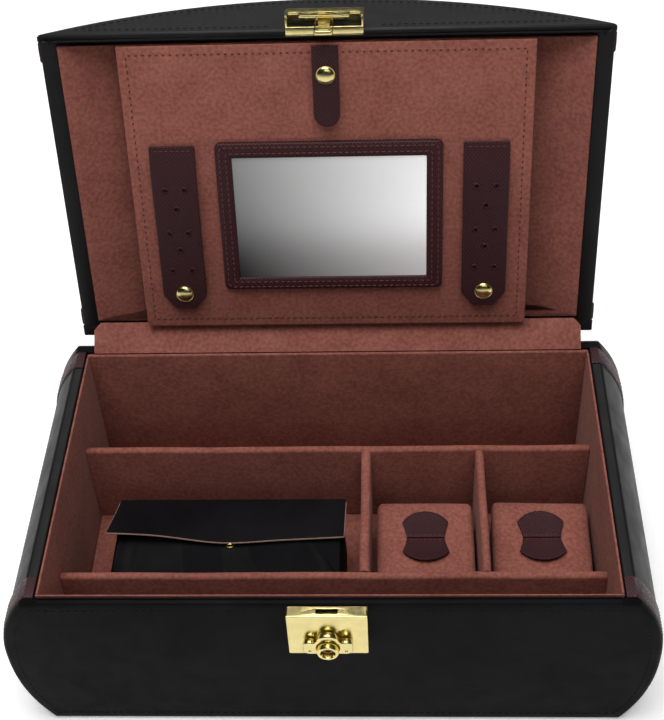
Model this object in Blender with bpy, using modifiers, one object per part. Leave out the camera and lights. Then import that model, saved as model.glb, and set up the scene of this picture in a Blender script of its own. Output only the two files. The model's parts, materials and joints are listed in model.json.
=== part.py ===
"""Leather jewellery case: a barrel-shaped chest with a hinged, arched lid.

Frame: X to the right, Y towards the hinge at the back, Z up. The origin is on the bottom,
midway between the front and back linings. Sizes are in millimetres and MM turns them into metres.
The lid is drawn shut and then swung open about its hinge by its empty.
"""

import math

import bmesh
import bpy
from mathutils import Matrix, Vector

MM = 0.001
GAP = 0.3                      # left between pieces that touch

# Base
RIM = 101.0                    # height of the rim
INNER_X = 137.0                # half the width inside the linings
INNER_Y = 80.0                 # half the depth inside the linings
FRONT_LINING = 0.8
BACK_LINING = 2.1
SIDE_LINING = 1.2
FRONT_FACE = -86.0             # outside of the front panels
BACK_FACE = 90.0               # outside of the back panels
BULGE_X = 160.2                # half the width at the widest place
BULGE_Z = 55.0                 # height of the widest place
UPPER_REACH = 90.0             # the barrel outline above and below the widest place
LOWER_REACH = 112.0
SQUARENESS = 2.3
OUTLINE_STEPS = 14
FLOOR_TOP = 16.5
FLOOR_BOARD = 2.5
BOTTOM_BOARD_TOP = 13.7
PANEL_ROUND = 2.6              # rounding of the panels' outer edges
BODY_INSET = 0.4               # how far the curved body lies inside the panels' outline
BODY_WALL = 4.9
EDGING_INSET = -0.6
EDGING_THICK = 0.7
UNDERSIDE = 0.9                # lifts the body and its edging clear of the surface below
EDGING_WIDTH = 12.0
BODY_FRONT = FRONT_FACE + 3.6  # the curved bodies lie between the panels
BODY_BACK = BACK_FACE - 7.3
FELT = 0.9

# Dividers
DIVIDER_TOP = RIM - 29.5
REAR_DIVIDER = (35.2, 39.4)
FRONT_DIVIDER = (-49.0, -44.8)
CROSS_DIVIDERS = {"cross_divider_left": (13.9, 19.0), "cross_divider_right": (75.4, 79.8)}

# Lid, drawn shut
LID_RIM = RIM + 0.6
LID_RISE = 44.0
LID_EDGE = 1.0                 # short upright stretch where the arch meets the rim
LID_HALF = 140.8
LID_PANEL_ROUND = 0.6
LID_BODY_INSET = 1.0
LID_EDGING_INSET = 0.0
LID_WALL = 3.8
LID_LINING = 0.7
LID_EDGING_WIDTH = 11.0
ARCH_STEPS = 28
HINGE_Y = 92.4
HINGE_Z = RIM + 0.3
LID_OPEN = math.radians(100.5)

# Hinge
COVER_HALF, COVER_CHAMFER, COVER_THICK = 134.0, 4.0, 0.9
LEAF_HALF = 115.0
LEAF_HEIGHT = 13.0
LEAF_THICK = 1.0
KNUCKLE_R = 1.9
PIN_R = 0.95
PIN_BORE_R = 1.05
KNUCKLES = 5

# Panel inside the lid, in its own frame: across, up from its lower edge, out of its face
FLAP_LOWER_EDGE = (0.0, 79.4, LID_RIM - 7.0)
FLAP_TILT = math.radians(2.42)
FLAP_HALF = 103.0
FLAP_LENGTH = 158.9
FLAP_THICK = 2.6
FRAME_HALF = 58.0
FRAME_LOW, FRAME_HIGH = 24.0, 108.2
WINDOW_HALF = 49.6
WINDOW_LOW, WINDOW_HIGH = 31.3, 100.0
STRAP_THICK = 1.3
STRAP_X = 80.0
STRAP_HALF = 11.7
STRAP_ROOT, STRAP_END = 106.6, 13.3
STRAP_CHAMFER = (6.5, 8.5)
STRAP_STUD = 22.8
STRAP_LIFT = 2.6               # height of the straps above the flap, over their sockets
HOLE_R = 1.0
HOLE_ROWS = ((83.3, 5.1), (72.5, 0.0), (58.6, 5.1), (48.8, 0.0), (36.6, 5.3))
RETAINER_HALF = 6.6
RETAINER_ROOT, RETAINER_END = 158.8, 117.0
RETAINER_STUD = 144.0
CAP_R = 4.8

# Lock on the base and its counterpart on the lid
LOCK_HALF = 19.0
LOCK_BOTTOM, LOCK_TOP = RIM - 31.0, RIM - 1.0
LOCK_FRONT = FRONT_FACE - 6.3
SLOT_HALF = 5.0
SLOT_FRONT, SLOT_BACK = FRONT_FACE - 4.9, FRONT_FACE - 1.4
TONGUE_HALF = 4.6
TONGUE_FRONT, TONGUE_BACK = FRONT_FACE - 3.9, FRONT_FACE - 1.8
TONGUE_TIP = RIM - 12.4
BARREL_Z = RIM - 21.6
BARREL_R, BARREL_BORE = 5.1, 3.5
BARREL_FRONT = LOCK_FRONT - 6.6
ESCUTCHEON_FRONT = LOCK_FRONT - GAP - 3.4
BUTTON_R, STEM_R = 3.1, 2.1
PLUG_BORE, PLUG_R = 1.5, 1.2
POCKET_DEPTH = 2.5
LID_LOCK_FRONT = FRONT_FACE - 7.0
LID_LOCK_TOP = LID_RIM + 10.4
FLANGE_BACK = FRONT_FACE + 3.1  # the lid lock's flange lies on the rim up to here
NOTCH_X, NOTCH_HALF = 15.0, 2.8
NOTCH_TOP = LID_RIM + 4.6
TONGUE_BAR_HALF = 10.0
TONGUE_BAR_LOW, TONGUE_BAR_HIGH = LID_RIM + 6.8, LID_RIM + 8.8
WINDOW_IN_TONGUE = 2.7
CATCH_LOW, CATCH_HIGH = RIM - 8.9, RIM - 5.0
ROOT_LOW, ROOT_HIGH = RIM - 2.4, RIM + 6.0

# Loose pieces in the compartments
PAD_HALF = (25.9, 26.9)
PAD_CENTRES = {"left": (47.9, -9.3), "right": (108.9, -9.3)}
PAD_TOP = RIM - 50.0
TAB_THICK = 1.1
POUCH_X = -54.5
POUCH_HALF = 60.0
POUCH_FRONT, POUCH_BACK = -42.0, 9.0
POUCH_TOP_FRONT, POUCH_TOP_BACK = RIM - 45.0, RIM - 41.0
POUCH_WALL = 2.0
POUCH_MOUTH_FRONT = -12.0
COVER_ROOT_HALF, COVER_EDGE_HALF = 60.3, 62.5
COVER_SIDE, COVER_POINT = 24.5, 30.5
POUCH_FLAP_THICK = 1.4
POUCH_STUD = 26.5              # from the flap's hinge to its stud
POUCH_AJAR = math.radians(5.0)

COLOURS = {
    "black_leather": ((0.014, 0.013, 0.014), 0.50, 0.0),
    "brown_leather": ((0.060, 0.018, 0.019), 0.50, 0.0),
    "rose_suede": ((0.270, 0.105, 0.085), 0.95, 0.0),
    "gold_metal": ((0.780, 0.600, 0.200), 0.18, 1.0),
    "mirror": ((0.900, 0.900, 0.900), 0.03, 1.0),
    "black_felt": ((0.020, 0.020, 0.020), 0.95, 0.0),
    "spring_steel": ((0.550, 0.550, 0.560), 0.30, 1.0),
}

UPRIGHT = Matrix.Rotation(math.radians(90), 4, "X")    # outline across X and up Z, depth along -Y
FLAT = Matrix.Identity(4)                              # outline across X and Y, depth up Z
FLAP = Matrix.Translation(FLAP_LOWER_EDGE) @ Matrix.Rotation(math.pi - FLAP_TILT, 4, "X")
AXIS_Y = Matrix.Rotation(math.radians(90), 4, "X")     # turns a cylinder's axis from Z to Y
AXIS_X = Matrix.Rotation(math.radians(90), 4, "Y")


# ---------------------------------------------------------------- scene and helpers

def clear_scene():
    for obj in list(bpy.data.objects):
        bpy.data.objects.remove(obj, do_unlink=True)


def collection(name):
    group = bpy.data.collections.new(name)
    bpy.context.scene.collection.children.link(group)
    return group


def material(name):
    colour, roughness, metallic = COLOURS[name]
    mat = bpy.data.materials.get(name)
    if mat is None:
        mat = bpy.data.materials.new(name)
        mat.use_nodes = True
        shader = mat.node_tree.nodes["Principled BSDF"]
        shader.inputs["Base Color"].default_value = (*colour, 1.0)
        shader.inputs["Roughness"].default_value = roughness
        shader.inputs["Metallic"].default_value = metallic
    return mat


def scaled(point):
    return Vector(point) * MM


def in_metres(matrix):
    """The same placing with its shift turned from millimetres into metres."""
    return Matrix.Translation(matrix.translation * MM) @ matrix.to_3x3().to_4x4()


def add_mesh(name, mesh, mat):
    obj = bpy.data.objects.new(name, mesh)
    PARTS.objects.link(obj)
    if mat:
        mesh.materials.append(material(mat))
    return obj


def finish_bmesh(bm, name):
    bmesh.ops.recalc_face_normals(bm, faces=bm.faces)
    mesh = bpy.data.meshes.new(name)
    bm.to_mesh(mesh)
    bm.free()
    return mesh


def box(name, low, high, mat=None, frame=FLAT):
    """A box between two corners given in frame."""
    low, high = scaled(low), scaled(high)
    bm = bmesh.new()
    place = Matrix.Translation((low + high) / 2) @ Matrix.Diagonal((*(high - low), 1.0))
    bmesh.ops.create_cube(bm, size=1.0, matrix=in_metres(frame) @ place)
    return add_mesh(name, finish_bmesh(bm, name), mat)


def cylinder(name, centre, radius, length, turn, mat=None, segments=24, frame=FLAT):
    """A cylinder about centre, its axis turned from Z by turn."""
    bm = bmesh.new()
    place = in_metres(frame) @ Matrix.Translation(scaled(centre)) @ turn
    bmesh.ops.create_cone(bm, cap_ends=True, segments=segments, radius1=radius * MM,
                          radius2=radius * MM, depth=length * MM, matrix=place)
    return add_mesh(name, finish_bmesh(bm, name), mat)


def extrude_outlines(name, outlines, low, high, mat=None, frame=UPRIGHT):
    """Closed outlines, the later ones holes, extruded from low to high along frame's Z."""
    curve = bpy.data.curves.new(name, "CURVE")
    curve.dimensions = "2D"
    curve.fill_mode = "BOTH"
    curve.extrude = (high - low) / 2 * MM
    for outline in outlines:
        spline = curve.splines.new("POLY")
        spline.points.add(len(outline) - 1)
        for point, (a, b) in zip(spline.points, outline):
            point.co = (a * MM, b * MM, 0.0, 1.0)
        spline.use_cyclic_u = True
    guide = bpy.data.objects.new(name + "_outline", curve)
    guide.matrix_world = in_metres(frame) @ Matrix.Translation((0, 0, (low + high) / 2 * MM))
    PARTS.objects.link(guide)
    bpy.context.view_layer.update()
    mesh = bpy.data.meshes.new_from_object(guide.evaluated_get(bpy.context.evaluated_depsgraph_get()))
    mesh.transform(guide.matrix_world)
    bpy.data.objects.remove(guide, do_unlink=True)
    mesh.materials.clear()
    bm = bmesh.new()
    bm.from_mesh(mesh)
    bmesh.ops.remove_doubles(bm, verts=bm.verts, dist=1e-6)
    bmesh.ops.recalc_face_normals(bm, faces=bm.faces)
    bm.to_mesh(mesh)
    bm.free()
    mesh.name = name
    return add_mesh(name, mesh, mat)


def upright_plate(name, outline, front, back, mat=None):
    """A plate with its outline across X and up Z, between two Y values."""
    return extrude_outlines(name, [outline], -back, -front, mat, UPRIGHT)


def turned(name, profile, frame, mat, steps=24):
    """A profile of (radius, height), from the top down its outer side, turned about frame's Z."""
    mesh = bpy.data.meshes.new(name)
    points = [(r * MM, 0.0, h * MM) for r, h in profile]
    mesh.from_pydata(points, [(i, i + 1) for i in range(len(points) - 1)], [])
    obj = add_mesh(name, mesh, mat)
    obj.matrix_world = in_metres(frame)
    screw = obj.modifiers.new("turn", "SCREW")
    screw.steps = screw.render_steps = steps
    screw.use_merge_vertices = True
    screw.merge_threshold = 1e-6
    screw.use_smooth_shade = True
    return obj


def tube(name, points, radius, mat, resolution=1):
    """A round wire along points."""
    curve = bpy.data.curves.new(name, "CURVE")
    curve.dimensions = "3D"
    curve.bevel_depth = radius * MM
    curve.bevel_resolution = resolution
    curve.use_fill_caps = True
    spline = curve.splines.new("POLY")
    spline.points.add(len(points) - 1)
    for point, place in zip(spline.points, points):
        point.co = (*scaled(place), 1.0)
    obj = bpy.data.objects.new(name, curve)
    PARTS.objects.link(obj)
    curve.materials.append(material(mat))
    return obj


def combine(target, tool, operation="DIFFERENCE"):
    """A Boolean of target with tool, which becomes a cutter."""
    PARTS.objects.unlink(tool)
    CUTTERS.objects.link(tool)
    tool.name = f"{target.name}_tool_{len(target.modifiers)}"
    tool.hide_render = True
    tool.display_type = "WIRE"
    boolean = target.modifiers.new(operation.lower(), "BOOLEAN")
    boolean.operation = operation
    boolean.solver = "EXACT"
    boolean.object = tool


def bevel(obj, width, segments=1, angle=40.0):
    modifier = obj.modifiers.new("bevel", "BEVEL")
    modifier.width = width * MM
    modifier.segments = segments
    modifier.limit_method = "ANGLE"
    modifier.angle_limit = math.radians(angle)


def smooth(obj, angle=35.0):
    obj.data.shade_smooth()
    obj.data.set_sharp_from_angle(angle=math.radians(angle))


def pivot(name, point, parent=None):
    """An empty on a joint's axis. Points are given with the lid shut."""
    empty = bpy.data.objects.new(name, None)
    empty.empty_display_size = 0.01
    PARTS.objects.link(empty)
    empty.location = scaled(point)
    empty["point"] = list(scaled(point))
    if parent:
        hang(empty, parent)
    return empty


def round_face(obj, y, radius):
    """Rounds the edges of a panel's outer face, which lies at y."""
    bm = bmesh.new()
    bm.from_mesh(obj.data)
    bmesh.ops.dissolve_limit(bm, angle_limit=0.001, verts=bm.verts, edges=bm.edges)
    on_face = [e for e in bm.edges if all(abs(v.co.y - y * MM) < 1e-6 for v in e.verts)]
    bmesh.ops.bevel(bm, geom=on_face, offset=radius * MM, segments=3, profile=0.5, affect="EDGES")
    bm.to_mesh(obj.data)
    bm.free()


def hang(obj, parent):
    """Parent obj and its cutters to a pivot without moving them."""
    cutters = [m.object for m in obj.modifiers if m.type == "BOOLEAN"]
    for piece in [obj] + cutters:
        piece.parent = parent
        piece.matrix_parent_inverse = Matrix.Translation(-Vector(parent["point"]))


def arc(centre, radius, start, end, steps):
    """Points along an arc, in degrees."""
    points = []
    for i in range(steps + 1):
        angle = math.radians(start + (end - start) * i / steps)
        points.append((centre[0] + radius * math.cos(angle), centre[1] + radius * math.sin(angle)))
    return points


# ---------------------------------------------------------------- outlines

def barrel_x(z):
    """Half the width of the base panels' outline at height z."""
    reach = UPPER_REACH if z > BULGE_Z else LOWER_REACH
    share = (abs(z - BULGE_Z) / reach) ** SQUARENESS
    return BULGE_X * (1.0 - share) ** (1.0 / SQUARENESS)


def side_curve():
    """The right side of the base outline, from the bottom to the rim."""
    heights = [RIM * i / OUTLINE_STEPS for i in range(OUTLINE_STEPS + 1)]
    return [(barrel_x(z), z) for z in heights]


def arch_z(x):
    """Height of the lid panels' arch above the lid's rim."""
    rise = LID_RISE - LID_EDGE
    radius = (LID_HALF ** 2 + rise ** 2) / (2 * rise)
    return LID_EDGE + rise - radius + math.sqrt(radius ** 2 - x ** 2)


def arch_curve():
    """The lid's arch, from right to left."""
    spread = [math.cos(math.pi * i / ARCH_STEPS) for i in range(ARCH_STEPS + 1)]
    return [(LID_HALF * s, LID_RIM + arch_z(LID_HALF * s)) for s in spread]


def offset_curve(points, inset):
    """An open curve moved to its left by inset, with mitred corners."""
    moved = []
    for i, point in enumerate(points):
        here = Vector(point)
        before = Vector(points[max(i - 1, 0)])
        after = Vector(points[min(i + 1, len(points) - 1)])
        ahead = (after - here).normalized() if after != here else (here - before).normalized()
        behind = (here - before).normalized() if before != here else ahead
        normal = Vector((-ahead.y - behind.y, ahead.x + behind.x)).normalized()
        mitre = normal.dot(Vector((-ahead.y, ahead.x)))
        moved.append(tuple(here + normal * inset / mitre))
    return moved


def mirrored(points):
    return [(-x, z) for x, z in reversed(points)]


def base_outline(inset=0.0, low=0.0):
    """The whole base outline, counter-clockwise, its sides moved in by inset and its bottom at low."""
    side = offset_curve(side_curve(), inset)
    side[0] = (barrel_x(low) - inset, low)
    side[-1] = (side[-1][0], RIM)
    return side + mirrored(side)


def base_shell_outline(outer, inner):
    """A band of the base outline, open at the rim, between two insets."""
    outside = base_outline(outer, outer + UNDERSIDE)
    inside = base_outline(inner, inner + UNDERSIDE)
    half = len(outside) // 2
    return (outside[half:] + outside[:half] + list(reversed(inside[:half]))
            + list(reversed(inside[half:])))


def cut_at_rim(points):
    """An inward offset of the arch, trimmed to the part above the lid's rim."""
    kept = [p for p in points if p[1] > LID_RIM + 0.4]
    right, left = kept[0], kept[-1]
    slope = (kept[0][1] - kept[1][1]) / (kept[0][0] - kept[1][0])
    reach = (right[1] - LID_RIM) / -slope
    return [(right[0] + reach, LID_RIM)] + kept + [(left[0] - reach, LID_RIM)]


def lid_outline(inset=0.0):
    """The lid panels' outline, or one inside it."""
    if inset == 0.0:
        return [(LID_HALF, LID_RIM)] + arch_curve() + [(-LID_HALF, LID_RIM)]
    return cut_at_rim(offset_curve(arch_curve(), inset))


def lid_shell_outline(outer, inner):
    return lid_outline(outer) + list(reversed(lid_outline(inner)))


# ---------------------------------------------------------------- base casing

def base_panels():
    front = upright_plate("base_front_panel", base_outline(), FRONT_FACE, BODY_FRONT - GAP,
                          "black_leather")
    round_face(front, FRONT_FACE, PANEL_ROUND)
    reach = INNER_X + SIDE_LINING
    board = box("board", (-reach, BODY_FRONT - 0.5, BOTTOM_BOARD_TOP + GAP),
                (reach, -INNER_Y - FRONT_LINING - GAP, RIM))
    combine(front, board, "UNION")
    pocket = box("pocket", (-7.5, FRONT_FACE - 1, LOCK_BOTTOM + 3.5),
                 (7.5, FRONT_FACE + POCKET_DEPTH, RIM - 3.8))
    combine(front, pocket)
    back = upright_plate("base_back_panel", base_outline(), BODY_BACK + GAP, BACK_FACE,
                         "black_leather")
    round_face(back, BACK_FACE, PANEL_ROUND)


def base_body():
    """The curved sides and the bottom board, wrapped in one piece of leather."""
    outside = base_outline(BODY_INSET, BODY_INSET + UNDERSIDE)
    half = len(outside) // 2
    lip = INNER_X + SIDE_LINING + GAP
    inside = [(lip, RIM)]
    for x, z in reversed(side_curve()):
        if BOTTOM_BOARD_TOP < z < RIM:
            inside.append((max(lip, x - BODY_INSET - BODY_WALL), z))
    inside.append((barrel_x(BOTTOM_BOARD_TOP) - BODY_INSET - BODY_WALL, BOTTOM_BOARD_TOP))
    ring = outside[half:] + outside[:half] + inside + mirrored(inside)
    upright_plate("base_curved_body", ring, BODY_FRONT, BODY_BACK, "black_leather")


def base_edging():
    band = base_shell_outline(EDGING_INSET, EDGING_INSET + EDGING_THICK)
    upright_plate("base_front_edging", band, BODY_FRONT, BODY_FRONT + EDGING_WIDTH, "brown_leather")
    upright_plate("base_back_edging", band, BODY_BACK - EDGING_WIDTH, BODY_BACK, "brown_leather")


def bottom_cover():
    """The felt that the case rests on, between the edging strips."""
    reach = EDGING_WIDTH + 1.0
    box("bottom_felt", (-128, BODY_FRONT + reach, 0), (128, BODY_BACK - reach, FELT), "black_felt")


def base_lining():
    outer_x = INNER_X + SIDE_LINING
    low, high = BOTTOM_BOARD_TOP + GAP, RIM - 0.2
    box("front_lining", (-outer_x, -INNER_Y - FRONT_LINING, low), (outer_x, -INNER_Y, high), "rose_suede")
    box("back_lining", (-outer_x, INNER_Y, low), (outer_x, INNER_Y + BACK_LINING, high), "rose_suede")
    reach = INNER_Y - GAP
    box("left_lining", (-outer_x, -reach, low), (-INNER_X, reach, high), "rose_suede")
    box("right_lining", (INNER_X, -reach, low), (outer_x, reach, high), "rose_suede")
    box("compartment_floor", (-INNER_X + GAP, -reach, FLOOR_TOP - FLOOR_BOARD),
        (INNER_X - GAP, reach, FLOOR_TOP), "rose_suede")


def dividers():
    low = FLOOR_TOP + GAP
    reach = INNER_X - GAP
    boards = [
        box("rear_divider", (-reach, REAR_DIVIDER[0], low), (reach, REAR_DIVIDER[1], DIVIDER_TOP),
            "rose_suede"),
        box("front_divider", (-reach, FRONT_DIVIDER[0], low), (reach, FRONT_DIVIDER[1], DIVIDER_TOP),
            "rose_suede"),
    ]
    for name, (left, right) in CROSS_DIVIDERS.items():
        boards.append(box(name, (left, FRONT_DIVIDER[1] + GAP, low),
                          (right, REAR_DIVIDER[0] - GAP, DIVIDER_TOP), "rose_suede"))
    for board in boards:
        bevel(board, 1.2, 2)


# ---------------------------------------------------------------- lock on the base

def lock_case():
    case = box("lock_case", (-LOCK_HALF, LOCK_FRONT, LOCK_BOTTOM), (LOCK_HALF, FRONT_FACE - GAP, LOCK_TOP),
               "gold_metal")
    hollow = box("hollow", (-LOCK_HALF + 1, LOCK_FRONT + 1, LOCK_BOTTOM + 1),
                 (LOCK_HALF - 1, FRONT_FACE + 1, LOCK_TOP - 1))
    slot = box("slot", (-SLOT_HALF, SLOT_FRONT, LOCK_TOP - 3), (SLOT_HALF, SLOT_BACK, LOCK_TOP + 3))
    bore = cylinder("bore", (0, LOCK_FRONT, BARREL_Z), STEM_R + 0.4, 6, AXIS_Y)
    for tool in (hollow, slot, bore):
        combine(case, tool)


def escutcheon():
    """A thick plate with three lobes along its top, around the barrel."""
    side_lobe = (8.6, BARREL_Z + 3.0)
    lobe_r = 3.3
    corner = BARREL_Z - 1.4
    right = arc(side_lobe, lobe_r, 0, 135, 8)
    crown = arc((0, BARREL_Z + 7.5), 5.2, -12, 192, 14)
    foot = arc((side_lobe[0], corner), lobe_r, -90, 0, 5)
    outline = foot + right + crown + mirrored(right) + mirrored(foot)
    hole = arc((0, BARREL_Z), BARREL_R + GAP, 0, 345, 23)
    pins = [arc((side * side_lobe[0], BARREL_Z - 2.3), 0.6, 0, 315, 7) for side in (-1, 1)]
    extrude_outlines("escutcheon", [outline, hole] + pins, -LOCK_FRONT + GAP, -ESCUTCHEON_FRONT,
                     "gold_metal")


def barrel():
    length = LOCK_FRONT - GAP - BARREL_FRONT
    centre = (0, BARREL_FRONT + length / 2, BARREL_Z)
    sleeve = cylinder("lock_barrel", centre, BARREL_R, length, AXIS_Y, "gold_metal", 32)
    combine(sleeve, cylinder("bore", centre, BARREL_BORE, length + 2, AXIS_Y, segments=32))
    bevel(sleeve, 0.5, 1, 60)
    smooth(sleeve)


def push_button(hinge):
    """The sprung button, with the catch plate fixed to its stem."""
    head_front = BARREL_FRONT + 0.9
    head_back = head_front + 1.7
    stem_back = FRONT_FACE - 1.5
    button = cylinder("lock_button", (0, (head_front + head_back) / 2, BARREL_Z), BUTTON_R,
                      head_back - head_front, AXIS_Y, "gold_metal")
    stem = cylinder("stem", (0, (head_front + 1 + stem_back) / 2, BARREL_Z), STEM_R,
                    stem_back - head_front - 1, AXIS_Y)
    combine(button, stem, "UNION")
    combine(button, cylinder("bore", (0, head_front, BARREL_Z), PLUG_BORE, 12, AXIS_Y, segments=20))
    smooth(button)
    hang(button, hinge)

    plate_front = FRONT_FACE - 1.2
    plate_back = plate_front + 1.0
    outline = [(-5.5, BARREL_Z - 4), (5.5, BARREL_Z - 4), (5.5, RIM - 5.4), (-5.5, RIM - 5.4)]
    catch = upright_plate("latch_catch", outline, plate_front, plate_back, "gold_metal")
    combine(catch, box("nose", (-2.0, TONGUE_BACK - 1.0, RIM - 8.3), (2.0, plate_back - 0.3, RIM - 6.0)),
            "UNION")
    hang(catch, hinge)


def key_plug(hinge):
    """The cylinder that the key turns, with its keyhole."""
    front = BARREL_FRONT + 1.3
    plug = cylinder("key_plug", (0, front + 2, BARREL_Z), PLUG_R, 4, AXIS_Y, "gold_metal", 20)
    combine(plug, box("keyhole", (-0.3, front - 1, BARREL_Z - 0.85), (0.3, front + 1.6, BARREL_Z + 0.85)))
    smooth(plug)
    hang(plug, hinge)


def button_spring():
    """The coil around the button's stem that pushes it back out."""
    turns, per_turn, radius = 2, 14, 2.8
    start, end = BARREL_FRONT + 3.1, LOCK_FRONT - 0.4
    points = []
    for i in range(turns * per_turn + 1):
        angle = 2 * math.pi * i / per_turn
        y = start + (end - start) * i / (turns * per_turn)
        points.append((radius * math.cos(angle), y, BARREL_Z + radius * math.sin(angle)))
    tube("button_spring", points, 0.28, "spring_steel")


# ---------------------------------------------------------------- loose pieces

def pads(pivots):
    for side, (x, y) in PAD_CENTRES.items():
        low = (x - PAD_HALF[0], y - PAD_HALF[1], FLOOR_TOP + GAP)
        high = (x + PAD_HALF[0], y + PAD_HALF[1], PAD_TOP)
        pad = box(f"pad_{side}", low, high, "rose_suede")
        bevel(pad, 3.0, 2)
        hang(pad, pivots[f"pad_{side}"])


def petal_outline(x, y, direction, waist, reach):
    """Half of an hourglass pull tab, from its waist out to its rounded end."""
    shoulder = waist + 2.3
    depth = reach * 0.6
    rise = reach - depth
    radius = (shoulder ** 2 + rise ** 2) / (2 * rise)
    spread = math.degrees(math.asin(shoulder / radius))
    end = arc((0, reach - radius), radius, 90 - spread, 90 + spread, 10)
    points = [(waist, 0.4)] + end + [(-waist, 0.4)]
    return [(x + a, y + direction * b) for a, b in points]


def pull_tabs(pivots):
    for side, (x, y) in PAD_CENTRES.items():
        low = PAD_TOP + GAP
        for part, direction, reach in (("upper", 1, 17.1), ("lower", -1, 15.6)):
            outline = petal_outline(x, y, direction, 9.9, reach)
            name = f"tab_{side}_{part}"
            tab = extrude_outlines(name, [outline], low, low + TAB_THICK, "brown_leather", FLAT)
            hang(tab, pivots[name])


def pouch(pivots):
    """A soft travel pouch, its mouth under the flap at the back of its top."""
    low = FLOOR_TOP + GAP + 0.1
    profile = [(-POUCH_FRONT, low), (-POUCH_FRONT, POUCH_TOP_FRONT), (-POUCH_BACK, POUCH_TOP_BACK),
               (-POUCH_BACK, low)]
    across = Matrix.Rotation(math.radians(-90), 4, "Z") @ UPRIGHT
    body = extrude_outlines("pouch_body", [profile], POUCH_X - POUCH_HALF, POUCH_X + POUCH_HALF,
                            "black_leather", across @ Matrix.Scale(-1, 4, (0, 0, 1)))
    inner = box("inside", (POUCH_X - POUCH_HALF + POUCH_WALL, POUCH_FRONT + POUCH_WALL, low + POUCH_WALL),
                (POUCH_X + POUCH_HALF - POUCH_WALL, POUCH_BACK - POUCH_WALL, POUCH_TOP_FRONT - POUCH_WALL))
    mouth = box("mouth", (POUCH_X - POUCH_HALF + POUCH_WALL, POUCH_MOUTH_FRONT, POUCH_TOP_FRONT - 4),
                (POUCH_X + POUCH_HALF - POUCH_WALL, POUCH_BACK - POUCH_WALL, RIM))
    combine(body, inner)
    combine(body, mouth)
    hang(body, pivots["pouch"])


def pouch_slope():
    return math.atan2(POUCH_TOP_BACK - POUCH_TOP_FRONT, POUCH_BACK - POUCH_FRONT)


def pouch_flap(pivots):
    """The pouch's flap, drawn shut, with a shallow point at the middle of its front edge."""
    frame = (Matrix.Translation((POUCH_X, POUCH_BACK, POUCH_TOP_BACK + GAP))
             @ Matrix.Rotation(pouch_slope(), 4, "X"))
    root, edge, side, point = COVER_ROOT_HALF, COVER_EDGE_HALF, COVER_SIDE, COVER_POINT
    outline = [(-root, 0.6), (-edge, -side), (-edge / 2, -side - 2), (0, -point), (edge / 2, -side - 2),
               (edge, -side), (root, 0.6)]
    flap = extrude_outlines("pouch_flap", [outline], 0, POUCH_FLAP_THICK, "black_leather", frame)
    hang(flap, pivots["pouch_flap"])
    cap_at = frame @ Matrix.Translation((0, -POUCH_STUD, POUCH_FLAP_THICK + 0.1))
    hang(stud_cap("pouch_stud_cap", cap_at, 3.0), pivots["pouch_flap"])
    socket_at = frame @ Matrix.Translation((0, -POUCH_STUD, 0.1 - GAP))
    hang(stud_socket("pouch_stud_socket", socket_at, 2.6, 0.6), pivots["pouch"])


# ---------------------------------------------------------------- press studs

def stud_cap(name, frame, radius):
    """The domed cap of a press stud."""
    height = radius * 0.34
    rim = 0.35
    dome = [(0.0, height + rim)]
    for i in range(1, 6):
        angle = math.radians(90 - 90 * i / 5)
        dome.append((radius * math.cos(angle), rim + height * math.sin(angle)))
    return turned(name, dome + [(radius, 0.0), (0.0, 0.0)], frame, "gold_metal", 20)


def stud_socket(name, frame, radius, height):
    """The fixed half of a press stud."""
    profile = [(0.0, height), (radius * 0.55, height), (radius * 0.6, height * 0.5),
               (radius, height * 0.4), (radius, 0.0), (0.0, 0.0)]
    return turned(name, profile, frame, "gold_metal", 16)


# ---------------------------------------------------------------- lid

def lid_panels(hinge):
    front = upright_plate("lid_front_panel", lid_outline(), FRONT_FACE, BODY_FRONT - GAP, "black_leather")
    round_face(front, FRONT_FACE, LID_PANEL_ROUND)
    board = upright_plate("board", lid_outline(LID_BODY_INSET + LID_WALL + GAP), BODY_FRONT - 0.5,
                          -INNER_Y - FRONT_LINING - GAP)
    combine(front, board, "UNION")
    recess = box("recess", (-LOCK_HALF - GAP, FRONT_FACE - 2, LID_RIM - 1),
                 (LOCK_HALF + GAP, FLANGE_BACK + GAP, LID_RIM + 1))
    combine(front, recess)
    back = upright_plate("lid_back_panel", lid_outline(), BODY_BACK + GAP, BACK_FACE, "black_leather")
    round_face(back, BACK_FACE, LID_PANEL_ROUND)
    for panel in (front, back):
        hang(panel, hinge)


def lid_body(hinge):
    inner = LID_BODY_INSET + LID_WALL
    shell = upright_plate("lid_curved_body", lid_shell_outline(LID_BODY_INSET, inner), BODY_FRONT,
                          BODY_BACK, "black_leather")
    hang(shell, hinge)
    top = inner + GAP
    lining = upright_plate("lid_arch_lining", lid_shell_outline(top, top + LID_LINING),
                           -INNER_Y + GAP, INNER_Y - GAP, "rose_suede")
    hang(lining, hinge)
    front = upright_plate("lid_front_lining", lid_outline(top), -INNER_Y - FRONT_LINING, -INNER_Y,
                          "rose_suede")
    back = upright_plate("lid_back_lining", lid_outline(top), INNER_Y, INNER_Y + BACK_LINING, "rose_suede")
    hang(front, hinge)
    hang(back, hinge)


def lid_edging(hinge):
    band = lid_shell_outline(LID_EDGING_INSET, LID_EDGING_INSET + EDGING_THICK)
    front = upright_plate("lid_front_edging", band, BODY_FRONT, BODY_FRONT + LID_EDGING_WIDTH,
                          "brown_leather")
    back = upright_plate("lid_back_edging", band, BODY_BACK - LID_EDGING_WIDTH, BODY_BACK, "brown_leather")
    hang(front, hinge)
    hang(back, hinge)


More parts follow.
